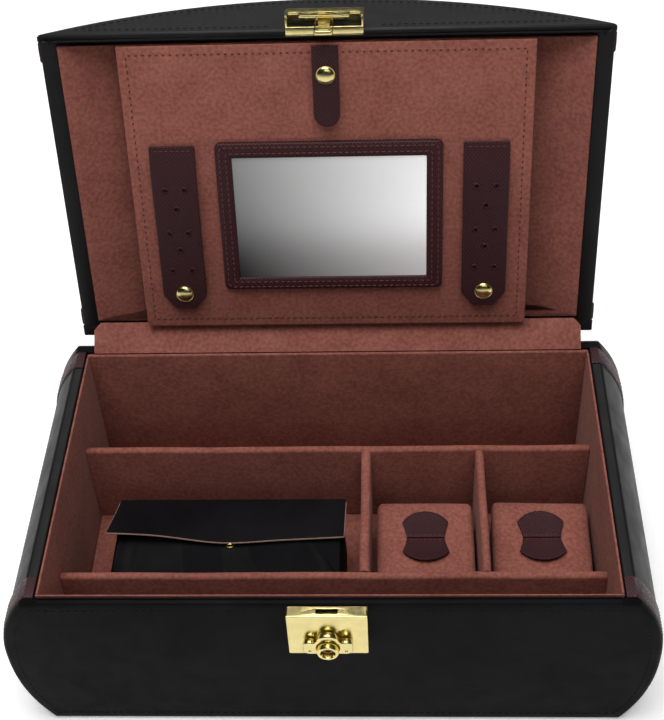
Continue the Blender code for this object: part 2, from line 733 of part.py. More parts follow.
def lens_outline():
    """The pointed oval window in the lid lock's face."""
    half, low, middle, high = 7.7, LID_RIM + 0.9, LID_RIM + 2.6, LID_RIM + 5.2
    outline = []
    for peak, up in ((high, 1), (low, -1)):
        rise = abs(peak - middle)
        radius = (half ** 2 + rise ** 2) / (2 * rise)
        spread = math.degrees(math.asin(half / radius))
        outline += arc((0, peak - up * radius), radius, up * 90 - spread, up * 90 + spread, 10)[:-1]
    return outline


def lid_lock(hinge):
    """The hollow cap on the lid's front, its flange over the rim, and the tongue for the slot."""
    low = LID_RIM + 0.1
    cap = box("lid_lock_cap", (-LOCK_HALF, LID_LOCK_FRONT, low), (LOCK_HALF, FRONT_FACE - GAP, LID_LOCK_TOP),
              "gold_metal")
    inside = box("inside", (-LOCK_HALF + 1, LID_LOCK_FRONT + 1.1, low - 1),
                 (LOCK_HALF - 1, FRONT_FACE + 1, LID_LOCK_TOP - 1))
    combine(cap, inside)
    flange = box("flange", (-LOCK_HALF, TONGUE_BACK + GAP, LID_RIM - 0.1),
                 (LOCK_HALF, FLANGE_BACK, LID_RIM + 0.7))
    combine(cap, flange, "UNION")
    for side in (-1, 1):
        notch = box("notch", (side * NOTCH_X - NOTCH_HALF, LID_LOCK_FRONT - 1, low - 1),
                    (side * NOTCH_X + NOTCH_HALF, LID_LOCK_FRONT + 2, NOTCH_TOP))
        combine(cap, notch)
    combine(cap, upright_plate("lens", lens_outline(), LID_LOCK_FRONT - 1, LID_LOCK_FRONT + 2))
    hang(cap, hinge)

    stem, bar, gap = TONGUE_HALF, TONGUE_BAR_HALF, WINDOW_IN_TONGUE
    outline = [(-stem, TONGUE_TIP), (stem, TONGUE_TIP), (stem, TONGUE_BAR_LOW), (bar, TONGUE_BAR_LOW),
               (bar, TONGUE_BAR_HIGH), (-bar, TONGUE_BAR_HIGH), (-bar, TONGUE_BAR_LOW),
               (-stem, TONGUE_BAR_LOW)]
    catch_window, root_window = [[(-gap, low), (gap, low), (gap, high), (-gap, high)]
                                 for low, high in ((CATCH_LOW, CATCH_HIGH), (ROOT_LOW, ROOT_HIGH))]
    tongue = extrude_outlines("striker_tongue", [outline, catch_window, root_window], -TONGUE_BACK,
                              -TONGUE_FRONT, "gold_metal")
    hang(tongue, hinge)


def hinge_leaf(name, side, hinge=None):
    """One leaf and its share of the knuckles. Side is -1 for the base and 1 for the lid."""
    inner, outer = HINGE_Z + side * 0.9, HINGE_Z + side * LEAF_HEIGHT
    leaf = box(name, (-LEAF_HALF, BACK_FACE + GAP, min(inner, outer)),
               (LEAF_HALF, BACK_FACE + GAP + LEAF_THICK, max(inner, outer)), "gold_metal")
    pitch = 2 * LEAF_HALF / KNUCKLES
    for i in range(KNUCKLES):
        middle = -LEAF_HALF + pitch * (i + 0.5)
        if i % 2 == (0 if side < 0 else 1):
            knuckle = cylinder("knuckle", (middle, HINGE_Y, HINGE_Z), KNUCKLE_R, pitch - 0.6, AXIS_X)
            combine(leaf, knuckle, "UNION")
        else:
            room = cylinder("room", (middle, HINGE_Y, HINGE_Z), KNUCKLE_R + 0.25, pitch, AXIS_X)
            combine(leaf, room)
    combine(leaf, cylinder("bore", (0, HINGE_Y, HINGE_Z), PIN_BORE_R, 2 * LEAF_HALF + 4, AXIS_X,
                           segments=16))
    if hinge:
        hang(leaf, hinge)


def hinge_set(hinge):
    hinge_leaf("hinge_leaf_base", -1)
    hinge_leaf("hinge_leaf_lid", 1, hinge)
    cylinder("hinge_pin", (0, HINGE_Y, HINGE_Z), PIN_R, 2 * LEAF_HALF, AXIS_X, "gold_metal", 16)


def hinge_cover():
    """The lining strip that bridges the two rims at the back while the lid is open."""
    swing = LID_OPEN
    reach = HINGE_Y - INNER_Y - 0.2
    top = (HINGE_Y - reach * math.cos(swing), HINGE_Z + reach * math.sin(swing))
    start = Vector((INNER_Y + 1.7, RIM + 0.4))
    along = Vector(top) - start
    length = along.length - 0.6
    slope = math.atan2(along.y, along.x)
    frame = Matrix.Translation((0, *start)) @ Matrix.Rotation(slope, 4, "X")
    half, cut = COVER_HALF, COVER_CHAMFER
    outline = [(-half, 0), (half, 0), (half, length - cut), (half - cut, length), (cut - half, length),
               (-half, length - cut)]
    extrude_outlines("hinge_cover_strip", [outline], 0.0, COVER_THICK, "rose_suede", frame)


# ---------------------------------------------------------------- panel inside the lid

def flap_panel(pivots):
    board = box("lid_flap_board", (-FLAP_HALF, 0, -FLAP_THICK), (FLAP_HALF, FLAP_LENGTH, 0), "rose_suede",
                FLAP)
    bevel(board, 0.5, 2)
    hang(board, pivots["lid_flap"])
    tape = box("flap_hinge_tape", (-98, INNER_Y - 1.1, LID_RIM - 3.6), (98, INNER_Y - GAP, LID_RIM + 9),
               "rose_suede")
    hang(tape, pivots["lid"])


def mirror(pivots):
    glass = box("mirror_glass", (-WINDOW_HALF - 2.2, WINDOW_LOW - 2.2, GAP),
                (WINDOW_HALF + 2.2, WINDOW_HIGH + 2.2, GAP + 1.7), "mirror", FLAP)
    hang(glass, pivots["lid_flap"])
    frame = box("mirror_frame", (-FRAME_HALF, FRAME_LOW, GAP), (FRAME_HALF, FRAME_HIGH, 3.2), "brown_leather",
                FLAP)
    combine(frame, box("window", (-WINDOW_HALF, WINDOW_LOW, -1), (WINDOW_HALF, WINDOW_HIGH, 5), frame=FLAP))
    combine(frame, box("rebate", (-WINDOW_HALF - 2.6, WINDOW_LOW - 2.6, -1),
                       (WINDOW_HALF + 2.6, WINDOW_HIGH + 2.6, GAP + 2.0), frame=FLAP))
    hang(frame, pivots["lid_flap"])


def earring_straps(pivots):
    """Straps with eyelet holes for earrings, each closed by a press stud at its lower end."""
    low = STRAP_LIFT
    for side, x in (("left", -STRAP_X), ("right", STRAP_X)):
        cut_x, cut_v = STRAP_CHAMFER
        outline = [(x - STRAP_HALF, STRAP_END + cut_v), (x - STRAP_HALF + cut_x, STRAP_END),
                   (x + STRAP_HALF - cut_x, STRAP_END), (x + STRAP_HALF, STRAP_END + cut_v),
                   (x + STRAP_HALF, STRAP_ROOT), (x - STRAP_HALF, STRAP_ROOT)]
        holes = []
        for row, spread in HOLE_ROWS:
            for shift in sorted({-spread, spread}):
                holes.append(arc((x + shift, row), HOLE_R, 0, 315, 7))
        strap = extrude_outlines(f"earring_strap_{side}", [outline] + holes, low, low + STRAP_THICK,
                                 "brown_leather", FLAP)
        hang(strap, pivots[f"earring_strap_{side}"])
        at = FLAP @ Matrix.Translation((x, STRAP_STUD, low + STRAP_THICK + 0.1))
        hang(stud_cap(f"strap_stud_cap_{side}", at, CAP_R), pivots[f"earring_strap_{side}"])
        at = FLAP @ Matrix.Translation((x, STRAP_STUD, 0.1))
        hang(stud_socket(f"strap_stud_socket_{side}", at, 4.2, low - 0.2), pivots["lid_flap"])


def retaining_strap(pivots):
    """The strap from the lid's front edge that holds the panel up."""
    low = STRAP_LIFT
    end = arc((0, RETAINER_END + RETAINER_HALF), RETAINER_HALF, 180, 360, 12)
    outline = end + [(RETAINER_HALF, RETAINER_ROOT), (-RETAINER_HALF, RETAINER_ROOT)]
    strap = extrude_outlines("retaining_strap", [outline], low, low + STRAP_THICK, "brown_leather", FLAP)
    hang(strap, pivots["retaining_strap"])
    at = FLAP @ Matrix.Translation((0, RETAINER_STUD, low + STRAP_THICK + 0.1))
    hang(stud_cap("retaining_stud_cap", at, CAP_R), pivots["retaining_strap"])
    at = FLAP @ Matrix.Translation((0, RETAINER_STUD, 0.1))
    hang(stud_socket("retaining_stud_socket", at, 4.2, low - 0.2), pivots["lid_flap"])


# ---------------------------------------------------------------- joints' pivots

def on_flap(u, v, w):
    return tuple(FLAP @ Vector((u, v, w)))


def make_pivots():
    pivots = {"lid": pivot("lid_hinge", (0, HINGE_Y, HINGE_Z))}
    pivots["lid_flap"] = pivot("lid_flap_hinge", on_flap(0, 0.8, -FLAP_THICK), pivots["lid"])
    pivots["retaining_strap"] = pivot("retaining_strap_root",
                                      on_flap(0, RETAINER_ROOT, STRAP_LIFT), pivots["lid"])
    for side, x in (("left", -STRAP_X), ("right", STRAP_X)):
        pivots[f"earring_strap_{side}"] = pivot(f"earring_strap_root_{side}",
                                                on_flap(x, STRAP_ROOT, STRAP_LIFT), pivots["lid_flap"])
    pivots["button"] = pivot("button_slide", (0, BARREL_FRONT, BARREL_Z))
    pivots["key_plug"] = pivot("key_plug_axis", (0, BARREL_FRONT, BARREL_Z), pivots["button"])
    for side, (x, y) in PAD_CENTRES.items():
        pad = pivots[f"pad_{side}"] = pivot(f"pad_lift_{side}", (x, y, FLOOR_TOP))
        for part, shift in (("upper", 0.4), ("lower", -0.4)):
            name = f"tab_{side}_{part}"
            pivots[name] = pivot(name + "_fold", (x, y + shift, PAD_TOP + GAP + TAB_THICK), pad)
    pivots["pouch"] = pivot("pouch_lift", (POUCH_X, POUCH_BACK, FLOOR_TOP))
    pivots["pouch_flap"] = pivot("pouch_flap_hinge", (POUCH_X, POUCH_BACK, POUCH_TOP_BACK + GAP),
                                 pivots["pouch"])
    return pivots


def build():
    clear_scene()
    global PARTS, CUTTERS
    PARTS = collection("jewellery_case")
    CUTTERS = collection("cutters")
    pivots = make_pivots()
    base_panels()
    base_body()
    base_edging()
    bottom_cover()
    base_lining()
    dividers()
    lock_case()
    escutcheon()
    barrel()
    push_button(pivots["button"])
    key_plug(pivots["key_plug"])
    button_spring()
    pads(pivots)
    pull_tabs(pivots)
    pouch(pivots)
    pouch_flap(pivots)
    lid_panels(pivots["lid"])
    lid_body(pivots["lid"])
    lid_edging(pivots["lid"])
    lid_lock(pivots["lid"])
    hinge_set(pivots["lid"])
    hinge_cover()
    flap_panel(pivots)
    mirror(pivots)
    earring_straps(pivots)
    retaining_strap(pivots)
    pivots["lid"].rotation_euler.x = -LID_OPEN
    pivots["pouch_flap"].rotation_euler.x = -POUCH_AJAR


build()
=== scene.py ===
"""A leather jewellery case standing open on a pale floor.

Lengths are in millimetres until a mesh becomes an object. Pieces of the lid are drawn as if it were
shut and then turned by LID, and pieces of the panel inside it are drawn in the panel's own plane.
"""
import json
from math import asin, atan2, cos, degrees, exp, hypot, pi, radians, sin, sqrt, tan

import bmesh
import bpy
from mathutils import Matrix, Vector, noise


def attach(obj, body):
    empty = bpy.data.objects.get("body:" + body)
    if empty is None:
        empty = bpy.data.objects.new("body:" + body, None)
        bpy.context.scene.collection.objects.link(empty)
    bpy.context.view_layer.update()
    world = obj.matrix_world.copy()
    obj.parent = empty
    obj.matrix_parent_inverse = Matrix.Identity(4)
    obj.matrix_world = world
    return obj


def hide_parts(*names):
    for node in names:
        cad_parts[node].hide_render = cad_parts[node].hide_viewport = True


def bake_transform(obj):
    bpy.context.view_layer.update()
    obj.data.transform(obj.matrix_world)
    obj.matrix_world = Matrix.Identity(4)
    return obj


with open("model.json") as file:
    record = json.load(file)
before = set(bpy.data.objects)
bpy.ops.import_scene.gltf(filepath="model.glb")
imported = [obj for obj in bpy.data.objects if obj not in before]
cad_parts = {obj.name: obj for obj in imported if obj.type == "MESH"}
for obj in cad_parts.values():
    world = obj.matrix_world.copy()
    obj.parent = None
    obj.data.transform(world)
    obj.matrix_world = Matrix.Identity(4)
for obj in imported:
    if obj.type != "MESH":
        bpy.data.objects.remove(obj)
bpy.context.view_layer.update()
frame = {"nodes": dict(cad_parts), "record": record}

MM = 0.001

# Case
RIM = 101.0
INNER_X, INNER_Y = 137.0, 80.0
FRONT_FACE, BACK_FACE = -86.0, 90.0
BODY_FRONT, BODY_BACK = -82.4, 82.7
BULGE_X, BULGE_Z = 160.2, 55.0
UPPER_REACH, LOWER_REACH, SQUARENESS = 90.0, 112.0, 2.3
WALL_INSIDE, BODY_FLOOR = 138.6, 13.8
PANEL_ROUND, PANEL_TUCK = 2.8, 0.3  # the panels' rounded edge, and their gap to the barrel
FRONT_LINING, BACK_LINING, SIDE_LINING, LINING_FOOT = 0.8, 2.1, 1.2, 14.1
EDGING_WIDTH = 12.0
FLOOR_TOP = 16.5
DIVIDER_TOP = RIM - 29.5
REAR_DIVIDER, FRONT_DIVIDER = (35.2, 39.4), (-49.0, -44.8)
DIVIDER_REACH = 136.7
CROSS_DIVIDERS = {"left": (13.9, 19.0), "right": (75.4, 79.8)}

# Lid
LID_RIM = RIM + 0.6
LID_HALF, LID_RISE, LID_EDGE = 140.8, 44.0, 1.0
LID_SWING = 100.5  # degrees from shut to open
LID_PANEL_ROUND, LID_EDGING_WIDTH = 1.6, 11.0
ARCH_R = (LID_HALF ** 2 + (LID_RISE - LID_EDGE) ** 2) / (2 * (LID_RISE - LID_EDGE))
ARCH_Z = LID_RIM + LID_RISE - ARCH_R
HINGE = Vector((0.0, 92.4, RIM + 0.3))
LID = (Matrix.Translation(HINGE) @ Matrix.Rotation(radians(-LID_SWING), 4, "X")
       @ Matrix.Translation(-HINGE))
SHUT = Matrix.Identity(4)

# Panel inside the lid
FLAP_HALF, FLAP_LENGTH, FLAP_THICK = 103.0, 158.9, 2.6
FLAP = (LID @ Matrix.Translation((0, 79.4, LID_RIM - 7.0))
        @ Matrix.Rotation(pi - radians(2.42), 4, "X"))
STRAP_X, STRAP_HALF, STRAP_ROOT, STRAP_END = 80.0, 11.7, 106.6, 13.3
STRAP_STUD, RETAINER_STUD = 22.8, 144.0
STRAP_THICK, STRAP_LIFT, STUD_HEIGHT = 1.5, 2.6, 4.15
MIRROR_HALF, MIRROR_LOW, MIRROR_HIGH = 49.6, 31.3, 100.0  # the opening in the mirror's frame
# Rows of earring holes: their height on the strap, and how far they sit either side of its middle
HOLE_ROWS = ((83.3, 5.1), (72.5, 0.0), (58.6, 5.1), (48.8, 0.0), (36.6, 5.3))

# Lock
LOCK_HALF = 19.0
LOCK_FRONT = FRONT_FACE - 6.3
LOCK_BOTTOM, LOCK_TOP = RIM - 31.0, RIM - 1.0
BARREL_Z = RIM - 21.6
BARREL_FRONT = LOCK_FRONT - 6.6
BARREL_R, BARREL_BORE, BUTTON_R, STEM_R, PLUG_BORE = 5.1, 3.5, 3.1, 2.1, 1.5
LOBE_X, LOBE_R = 8.6, 3.3
TONGUE_HALF, TONGUE_TIP = 4.6, RIM - 12.4
LOCK_BACK = FRONT_FACE - 0.2
LID_LOCK_FRONT, LID_LOCK_TOP = FRONT_FACE - 7.0, LID_RIM + 10.4

# Loose pieces
PADS = {"left": (47.9, -9.3, 0.0), "right": (108.9, -9.3, -1.6)}
PAD_TOP = RIM - 50.0
POUCH_X, POUCH_HALF, POUCH_FRONT, POUCH_BACK = -54.5, 60.0, -42.0, 9.0
POUCH_RISE = 4.0  # how much higher the pouch is at its back than at its front
COVER_HALF, COVER_TOP, COVER_THICK = 60.3, 1.4, 1.3
COVER = (Matrix.Translation((POUCH_X, POUCH_BACK, RIM - 40.7))
         @ Matrix.Rotation(atan2(POUCH_RISE, POUCH_BACK - POUCH_FRONT) - radians(5), 4, "X"))

# Directions, and stitches as (pitch, length, radius, lean)
FORWARD, BACKWARD, UP = (0, -1, 0), (0, 1, 0), (0, 0, 1)
PANEL_STITCH = (3.6, 2.5, 0.26)
EDGING_STITCH = (2.7, 2.0, 0.24, 14)


# ---- materials

class Shader:
    """A Principled material and the nodes that feed it."""

    def __init__(self, name, colour, roughness, metallic=0.0, specular=0.5):
        self.mat = bpy.data.materials.new(name)
        self.mat.use_nodes = True
        self.nodes = self.mat.node_tree.nodes
        self.links = self.mat.node_tree.links
        self.bsdf = self.nodes["Principled BSDF"]
        self.set("Base Color", (*colour, 1.0))
        self.set("Roughness", roughness)
        self.set("Metallic", metallic)
        self.set("Specular IOR Level", specular)

    def set(self, socket, value):
        self.bsdf.inputs[socket].default_value = value

    def node(self, kind, **inputs):
        node = self.nodes.new("ShaderNode" + kind)
        for socket, value in inputs.items():
            node.inputs[socket].default_value = value
        return node

    def coords(self, turn=0.0):
        mapping = self.node("Mapping", Rotation=(0.0, 0.0, radians(turn)))
        self.links.new(self.node("TexCoord").outputs["Object"], mapping.inputs["Vector"])
        return mapping.outputs["Vector"]

    def noise(self, scale, detail=2.0):
        node = self.node("TexNoise", Scale=scale, Detail=detail)
        self.links.new(self.coords(), node.inputs["Vector"])
        return node.outputs["Fac"]

    def cells(self, scale):
        node = self.node("TexVoronoi", Scale=scale)
        self.links.new(self.coords(), node.inputs["Vector"])
        return node.outputs["Distance"]

    def stripes(self, period, turn, distortion):
        node = self.node("TexWave", Scale=2 * pi / (20 * period), Distortion=distortion, Detail=1.0)
        self.links.new(self.coords(turn), node.inputs["Vector"])
        return node.outputs["Fac"]

    def maths(self, operation, a, b):
        node = self.node("Math")
        node.operation = operation
        for socket, value in zip(node.inputs, (a, b)):
            if isinstance(value, (int, float)):
                socket.default_value = value
            else:
                self.links.new(value, socket)
        return node.outputs["Value"]

    def spread(self, value, low, high, to_low, to_high):
        node = self.node("MapRange")
        for socket, number in zip(("From Min", "From Max", "To Min", "To Max"), (low, high, to_low, to_high)):
            node.inputs[socket].default_value = number
        self.links.new(value, node.inputs["Value"])
        return node.outputs["Result"]

    def tint(self, value, first, second):
        """The base colour runs from first to second as value goes from 0 to 1."""
        node = self.node("Mix")
        node.data_type = "RGBA"
        node.inputs["A"].default_value = (*first, 1.0)
        node.inputs["B"].default_value = (*second, 1.0)
        self.links.new(value, node.inputs["Factor"])
        self.links.new(node.outputs["Result"], self.bsdf.inputs["Base Color"])

    def roughen(self, value, low, high):
        self.links.new(self.spread(value, 0.3, 0.7, low, high), self.bsdf.inputs["Roughness"])

    def bump(self, height, strength, distance):
        node = self.node("Bump", Strength=strength, Distance=distance * MM)
        self.links.new(height, node.inputs["Height"])
        self.links.new(node.outputs["Normal"], self.bsdf.inputs["Normal"])


def black_leather(name, gloss):
    shader = Shader(name, (0.006, 0.005, 0.006), 0.5, specular=gloss)
    patches = shader.spread(shader.noise(28.0, 3.0), 0.35, 0.68, 0.0, 1.0)
    shader.tint(patches, (0.0045, 0.0040, 0.0047), (0.0078, 0.0070, 0.0080))
    shader.roughen(shader.noise(90.0, 2.0), 0.44, 0.56)
    grain = shader.maths("ADD", shader.cells(1500.0),
                         shader.maths("MULTIPLY", shader.noise(700.0, 3.0), 0.8))
    shader.bump(grain, 0.22, 0.25)
    return shader.mat


def rose_suede():
    shader = Shader("rose_suede_visual", (0.30, 0.11, 0.09), 0.95, specular=0.15)
    shader.set("Sheen Weight", 0.10)
    shader.set("Sheen Roughness", 0.45)
    shader.set("Sheen Tint", (0.95, 0.62, 0.55, 1.0))
    mottle = shader.maths("MULTIPLY", shader.spread(shader.noise(55.0, 5.0), 0.3, 0.7, 0.0, 1.0), 0.4)
    nap = shader.maths("MULTIPLY", shader.spread(shader.noise(520.0, 3.0), 0.36, 0.64, 0.0, 1.0), 0.6)
    shader.tint(shader.maths("ADD", mottle, nap), (0.190, 0.061, 0.045), (0.335, 0.121, 0.092))
    shader.bump(shader.noise(1700.0, 3.0), 0.35, 0.22)
    return shader.mat


def brown_leather():
    shader = Shader("brown_leather_visual", (0.05, 0.014, 0.017), 0.42, specular=0.22)
    cross = shader.maths("MAXIMUM", shader.stripes(1.5 * MM, 38.0, 1.5), shader.stripes(1.5 * MM, -38.0, 1.5))
    shader.tint(cross, (0.012, 0.0030, 0.0040), (0.048, 0.0135, 0.0165))
    shader.roughen(shader.noise(400.0), 0.36, 0.52)
    shader.bump(cross, 0.7, 0.22)
    return shader.mat


def thread(name, colour):
    shader = Shader(name, colour, 0.7, specular=0.15)
    shader.bump(shader.stripes(0.35 * MM, 30.0, 0.0), 0.5, 0.08)
    return shader.mat


def gold(name, colour, roughness):
    shader = Shader(name, colour, roughness, 1.0)
    smudge = shader.spread(shader.noise(160.0, 3.0), 0.35, 0.7, 0.0, 1.0)
    shader.tint(smudge, tuple(0.9 * c for c in colour), colour)
    shader.roughen(shader.noise(300.0, 4.0), roughness - 0.03, roughness + 0.05)
    return shader.mat


def mirror_glass():
    shader = Shader("mirror_visual", (0.8, 0.8, 0.8), 0.3, 0.45)
    parts = shader.node("SeparateXYZ")
    shader.links.new(shader.coords(), parts.inputs["Vector"])
    across = shader.spread(parts.outputs["X"], -MIRROR_HALF * MM, MIRROR_HALF * MM, 0.0, 0.68)
    up = shader.spread(parts.outputs["Y"], MIRROR_LOW * MM, MIRROR_HIGH * MM, 0.0, 0.32)
    # Painted reflection: a ramp from near black at the lower left of the glass to white at its upper right. It
    # also drives the glass's emission, so the glass glows.
    painted_reflection = shader.maths("POWER", shader.maths("ADD", across, up), 1.25)
    shader.tint(painted_reflection, (0.05, 0.051, 0.051), (1.0, 1.0, 1.0))
    shader.links.new(painted_reflection, shader.bsdf.inputs["Emission Strength"])
    shader.set("Emission Color", (0.36, 0.36, 0.36, 1.0))
    return shader.mat


def felt():
    shader = Shader("felt_visual", (0.012, 0.012, 0.012), 0.98)
    shader.set("Sheen Weight", 0.3)
    shader.bump(shader.noise(1200.0, 4.0), 0.6, 0.3)
    return shader.mat


def steel():
    shader = Shader("steel_visual", (0.55, 0.55, 0.56), 0.3, 1.0)
    shader.roughen(shader.noise(800.0), 0.22, 0.36)
    return shader.mat


def floor_finish():
    shader = Shader("floor_visual", (0.93, 0.93, 0.93), 0.75, specular=0.1)
    shader.set("Emission Color", (1.0, 1.0, 1.0, 1.0))
    shader.set("Emission Strength", 0.27)
    shader.roughen(shader.noise(6.0), 0.7, 0.8)
    return shader.mat


MATERIALS = {
    "black_leather": black_leather("black_leather_visual", 0.22),
    # A copy of the black leather with almost no specular, for the base front and the pouch. It makes faces that
    # look at the bright floor read darker: painted shade, not a different leather.
    "shaded_black_leather": black_leather("shaded_black_leather_visual", 0.035),
    "rose_suede": rose_suede(),
    "brown_leather": brown_leather(),
    "gold_metal": gold("gold_visual", (0.80, 0.68, 0.30), 0.2),
    # Brass darkened to a deep amber for the button and key plug set back in the barrel: painted shade of the
    # bore.
    "bore_shaded_brass": gold("bore_shaded_brass_visual", (0.22, 0.12, 0.035), 0.3),
    "mirror": mirror_glass(),
    "black_felt": felt(),
    "spring_steel": steel(),
    "red_thread": thread("red_thread", (0.14, 0.040, 0.038)),
    "black_thread": thread("black_thread", (0.006, 0.0055, 0.006)),
    "rose_thread": thread("rose_thread", (0.10, 0.034, 0.028)),
    "pale_thread": thread("pale_thread", (0.22, 0.125, 0.11)),
    "raw_edge": thread("raw_edge", (0.26, 0.16, 0.13)),
}


# ---- shapes

def placed(name, data, place=SHUT):
    """An object that holds data, linked to the scene."""
    obj = bpy.data.objects.new(name, data)
    obj.matrix_world = place
    bpy.context.scene.collection.objects.link(obj)
    return obj


def piece(name, bm, mat, body, plane=SHUT, nodes=(), angle=38.0):
    """bm, drawn in millimetres in plane, becomes an object that rides on body."""
    mesh = bpy.data.meshes.new(name)
    bm.to_mesh(mesh)
    bm.free()
    mesh.transform(Matrix.Scale(MM, 4))
    mesh.materials.append(MATERIALS[mat])
    mesh.shade_smooth()
    mesh.set_sharp_from_angle(angle=radians(angle))
    place = plane.copy()
    place.translation *= MM
    obj = placed(name, mesh, place)
    bpy.context.view_layer.update()
    if nodes:
        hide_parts(*nodes)
    if body:
        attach(obj, body)
    return obj


def join(target, other):
    """Adds the mesh of other to target."""
    mesh = bpy.data.meshes.new("joined")
    other.to_mesh(mesh)
    other.free()
    target.from_mesh(mesh)
    bpy.data.meshes.remove(mesh)
    return target


def joined(*parts):
    whole = parts[0]
    for other in parts[1:]:
        join(whole, other)
    return whole


def loft(rings, ring_closed=True, stack_closed=False, caps=True):
    """A skin over rings of points with equal counts."""
    bm = bmesh.new()
    rows = [[bm.verts.new(p) for p in ring] for ring in rings]
    count = len(rings[0])
    following = rows[1:] + (rows[:1] if stack_closed else [])
    for here, there in zip(rows, following):
        for i in range(count if ring_closed else count - 1):
            j = (i + 1) % count
            bm.faces.new((here[i], here[j], there[j], there[i]))
    if caps and ring_closed and not stack_closed:
        bm.faces.new(rows[0])
        bm.faces.new(rows[-1])
    if caps and stack_closed and not ring_closed:
        bm.faces.new([row[0] for row in rows])
        bm.faces.new([row[-1] for row in rows])
    bmesh.ops.remove_doubles(bm, verts=bm.verts, dist=1e-4)
    bmesh.ops.recalc_face_normals(bm, faces=bm.faces)
    return bm


def board(low, high, radius=0.5, segments=3):
    """A covered board with rounded edges."""
    bm = bmesh.new()
    bmesh.ops.create_cube(bm, size=1.0)
    size = Vector(high) - Vector(low)
    middle = (Vector(high) + Vector(low)) / 2
    for vert in bm.verts:
        vert.co = Vector(a * b for a, b in zip(vert.co, size)) + middle
    bmesh.ops.bevel(bm, geom=list(bm.edges), offset=radius, segments=segments, profile=0.5, affect="EDGES")
    return bm


def arc(centre, radius, start, end, steps):
    angles = [radians(start + (end - start) * i / steps) for i in range(steps + 1)]
    return [(centre[0] + radius * cos(a), centre[1] + radius * sin(a)) for a in angles]


def fillet(points, radii, steps=5):
    """A closed outline with the corner at each point rounded to its radius."""
    outline = []
    for i, point in enumerate(points):
        radius = radii[i] if isinstance(radii, (list, tuple)) else radii
        here = Vector(point)
        before = (Vector(points[i - 1]) - here).normalized()
        after = (Vector(points[(i + 1) % len(points)]) - here).normalized()
        half = before.angle(after) / 2
        if radius <= 0 or half > radians(88):
            outline.append(tuple(here))
            continue
        reach = radius / tan(half)
        middle = here + (before + after).normalized() * radius / sin(half)
        first, last = here + before * reach - middle, here + after * reach - middle
        turn = first.angle_signed(last)
        for k in range(steps + 1):
            angle = -turn * k / steps
            spun = Matrix.Rotation(angle, 2) @ first
            outline.append(tuple(middle + spun))
    return outline


def rectangle(x0, y0, x1, y1, radius, steps=5):
    return fillet([(x0, y0), (x1, y0), (x1, y1), (x0, y1)], radius, steps)


def inset_closed(points, amount):
    """A closed counter-clockwise outline moved inwards, with mitred corners."""
    moved = []
    for i, point in enumerate(points):
        here = Vector(point)
        first = (here - Vector(points[i - 1])).normalized()
        second = (Vector(points[(i + 1) % len(points)]) - here).normalized()
        side = Vector((-first.y, first.x))
        mitre = (side + Vector((-second.y, second.x))).normalized()
        moved.append(tuple(here + mitre * amount / max(0.4, mitre.dot(side))))
    return moved


def cut_plate(outlines, low, high, edge, upright=False):
    """Closed outlines, the later ones holes, as a plate with rounded edges between two depths."""
    curve = bpy.data.curves.new("cut", "CURVE")
    curve.dimensions = "2D"
    curve.fill_mode = "BOTH"
    curve.extrude = ((high - low) / 2 - edge) * MM
    curve.bevel_depth = edge * MM
    curve.bevel_resolution = 2
    curve.offset = -edge * MM
    for outline in outlines:
        spline = curve.splines.new("POLY")
        spline.points.add(len(outline) - 1)
        for point, (a, b) in zip(spline.points, outline):
            point.co = (a * MM, b * MM, 0.0, 1.0)
        spline.use_cyclic_u = True
    guide = placed("cut", curve)
    bpy.context.view_layer.update()
    mesh = bpy.data.meshes.new_from_object(guide.evaluated_get(bpy.context.evaluated_depsgraph_get()))
    bpy.data.objects.remove(guide, do_unlink=True)
    bm = bmesh.new()
    bm.from_mesh(mesh)
    bmesh.ops.scale(bm, vec=(1 / MM,) * 3, verts=bm.verts)
    bmesh.ops.translate(bm, vec=(0, 0, (low + high) / 2), verts=bm.verts)
    bmesh.ops.remove_doubles(bm, verts=bm.verts, dist=1e-3)
    bmesh.ops.recalc_face_normals(bm, faces=bm.faces)
    if upright:
        bmesh.ops.rotate(bm, cent=(0, 0, 0), matrix=Matrix.Rotation(radians(90), 3, "X"), verts=bm.verts)
    return bm


def front_plate(outlines, front, back, edge):
    """A cut plate with its outline across X and up Z, between two Y values."""
    return cut_plate(outlines, -back, -front, edge, True)


def turned(profile, steps=48, plane=SHUT):
    """A profile of (radius, height) turned about the plane's Z."""
    rings = []
    for i in range(steps):
        angle = 2 * pi * i / steps
        rings.append([(r * cos(angle), r * sin(angle), z) for r, z in profile])
    bm = loft(rings, False, True, False)
    bm.transform(plane)
    return bm


def cord(points, radius, sides=8, closed=False, up=Vector((0, 0, 1))):
    """A round strip along a line of points."""
    rings = []
    count = len(points)
    for i, point in enumerate(points):
        before = Vector(points[i - 1] if closed or i else point)
        after = Vector(points[(i + 1) % count] if closed or i < count - 1 else point)
        along = (after - before).normalized()
        side = along.cross(up).normalized()
        rise = side.cross(along)
        angles = [2 * pi * k / sides for k in range(sides)]
        rings.append([Vector(point) + side * radius * cos(a) + rise * radius * sin(a)
                      for a in angles])
    return loft(rings, True, closed)


def spaced(points, pitch):
    """Places along a line at a regular pitch, each with its direction."""
    places = []
    carry = pitch / 2
    for start, end in zip(points, points[1:]):
        start, end = Vector(start), Vector(end)
        length = (end - start).length
        while carry <= length:
            places.append((start + (end - start) * carry / length, (end - start).normalized()))
            carry += pitch
        carry -= length
    return places


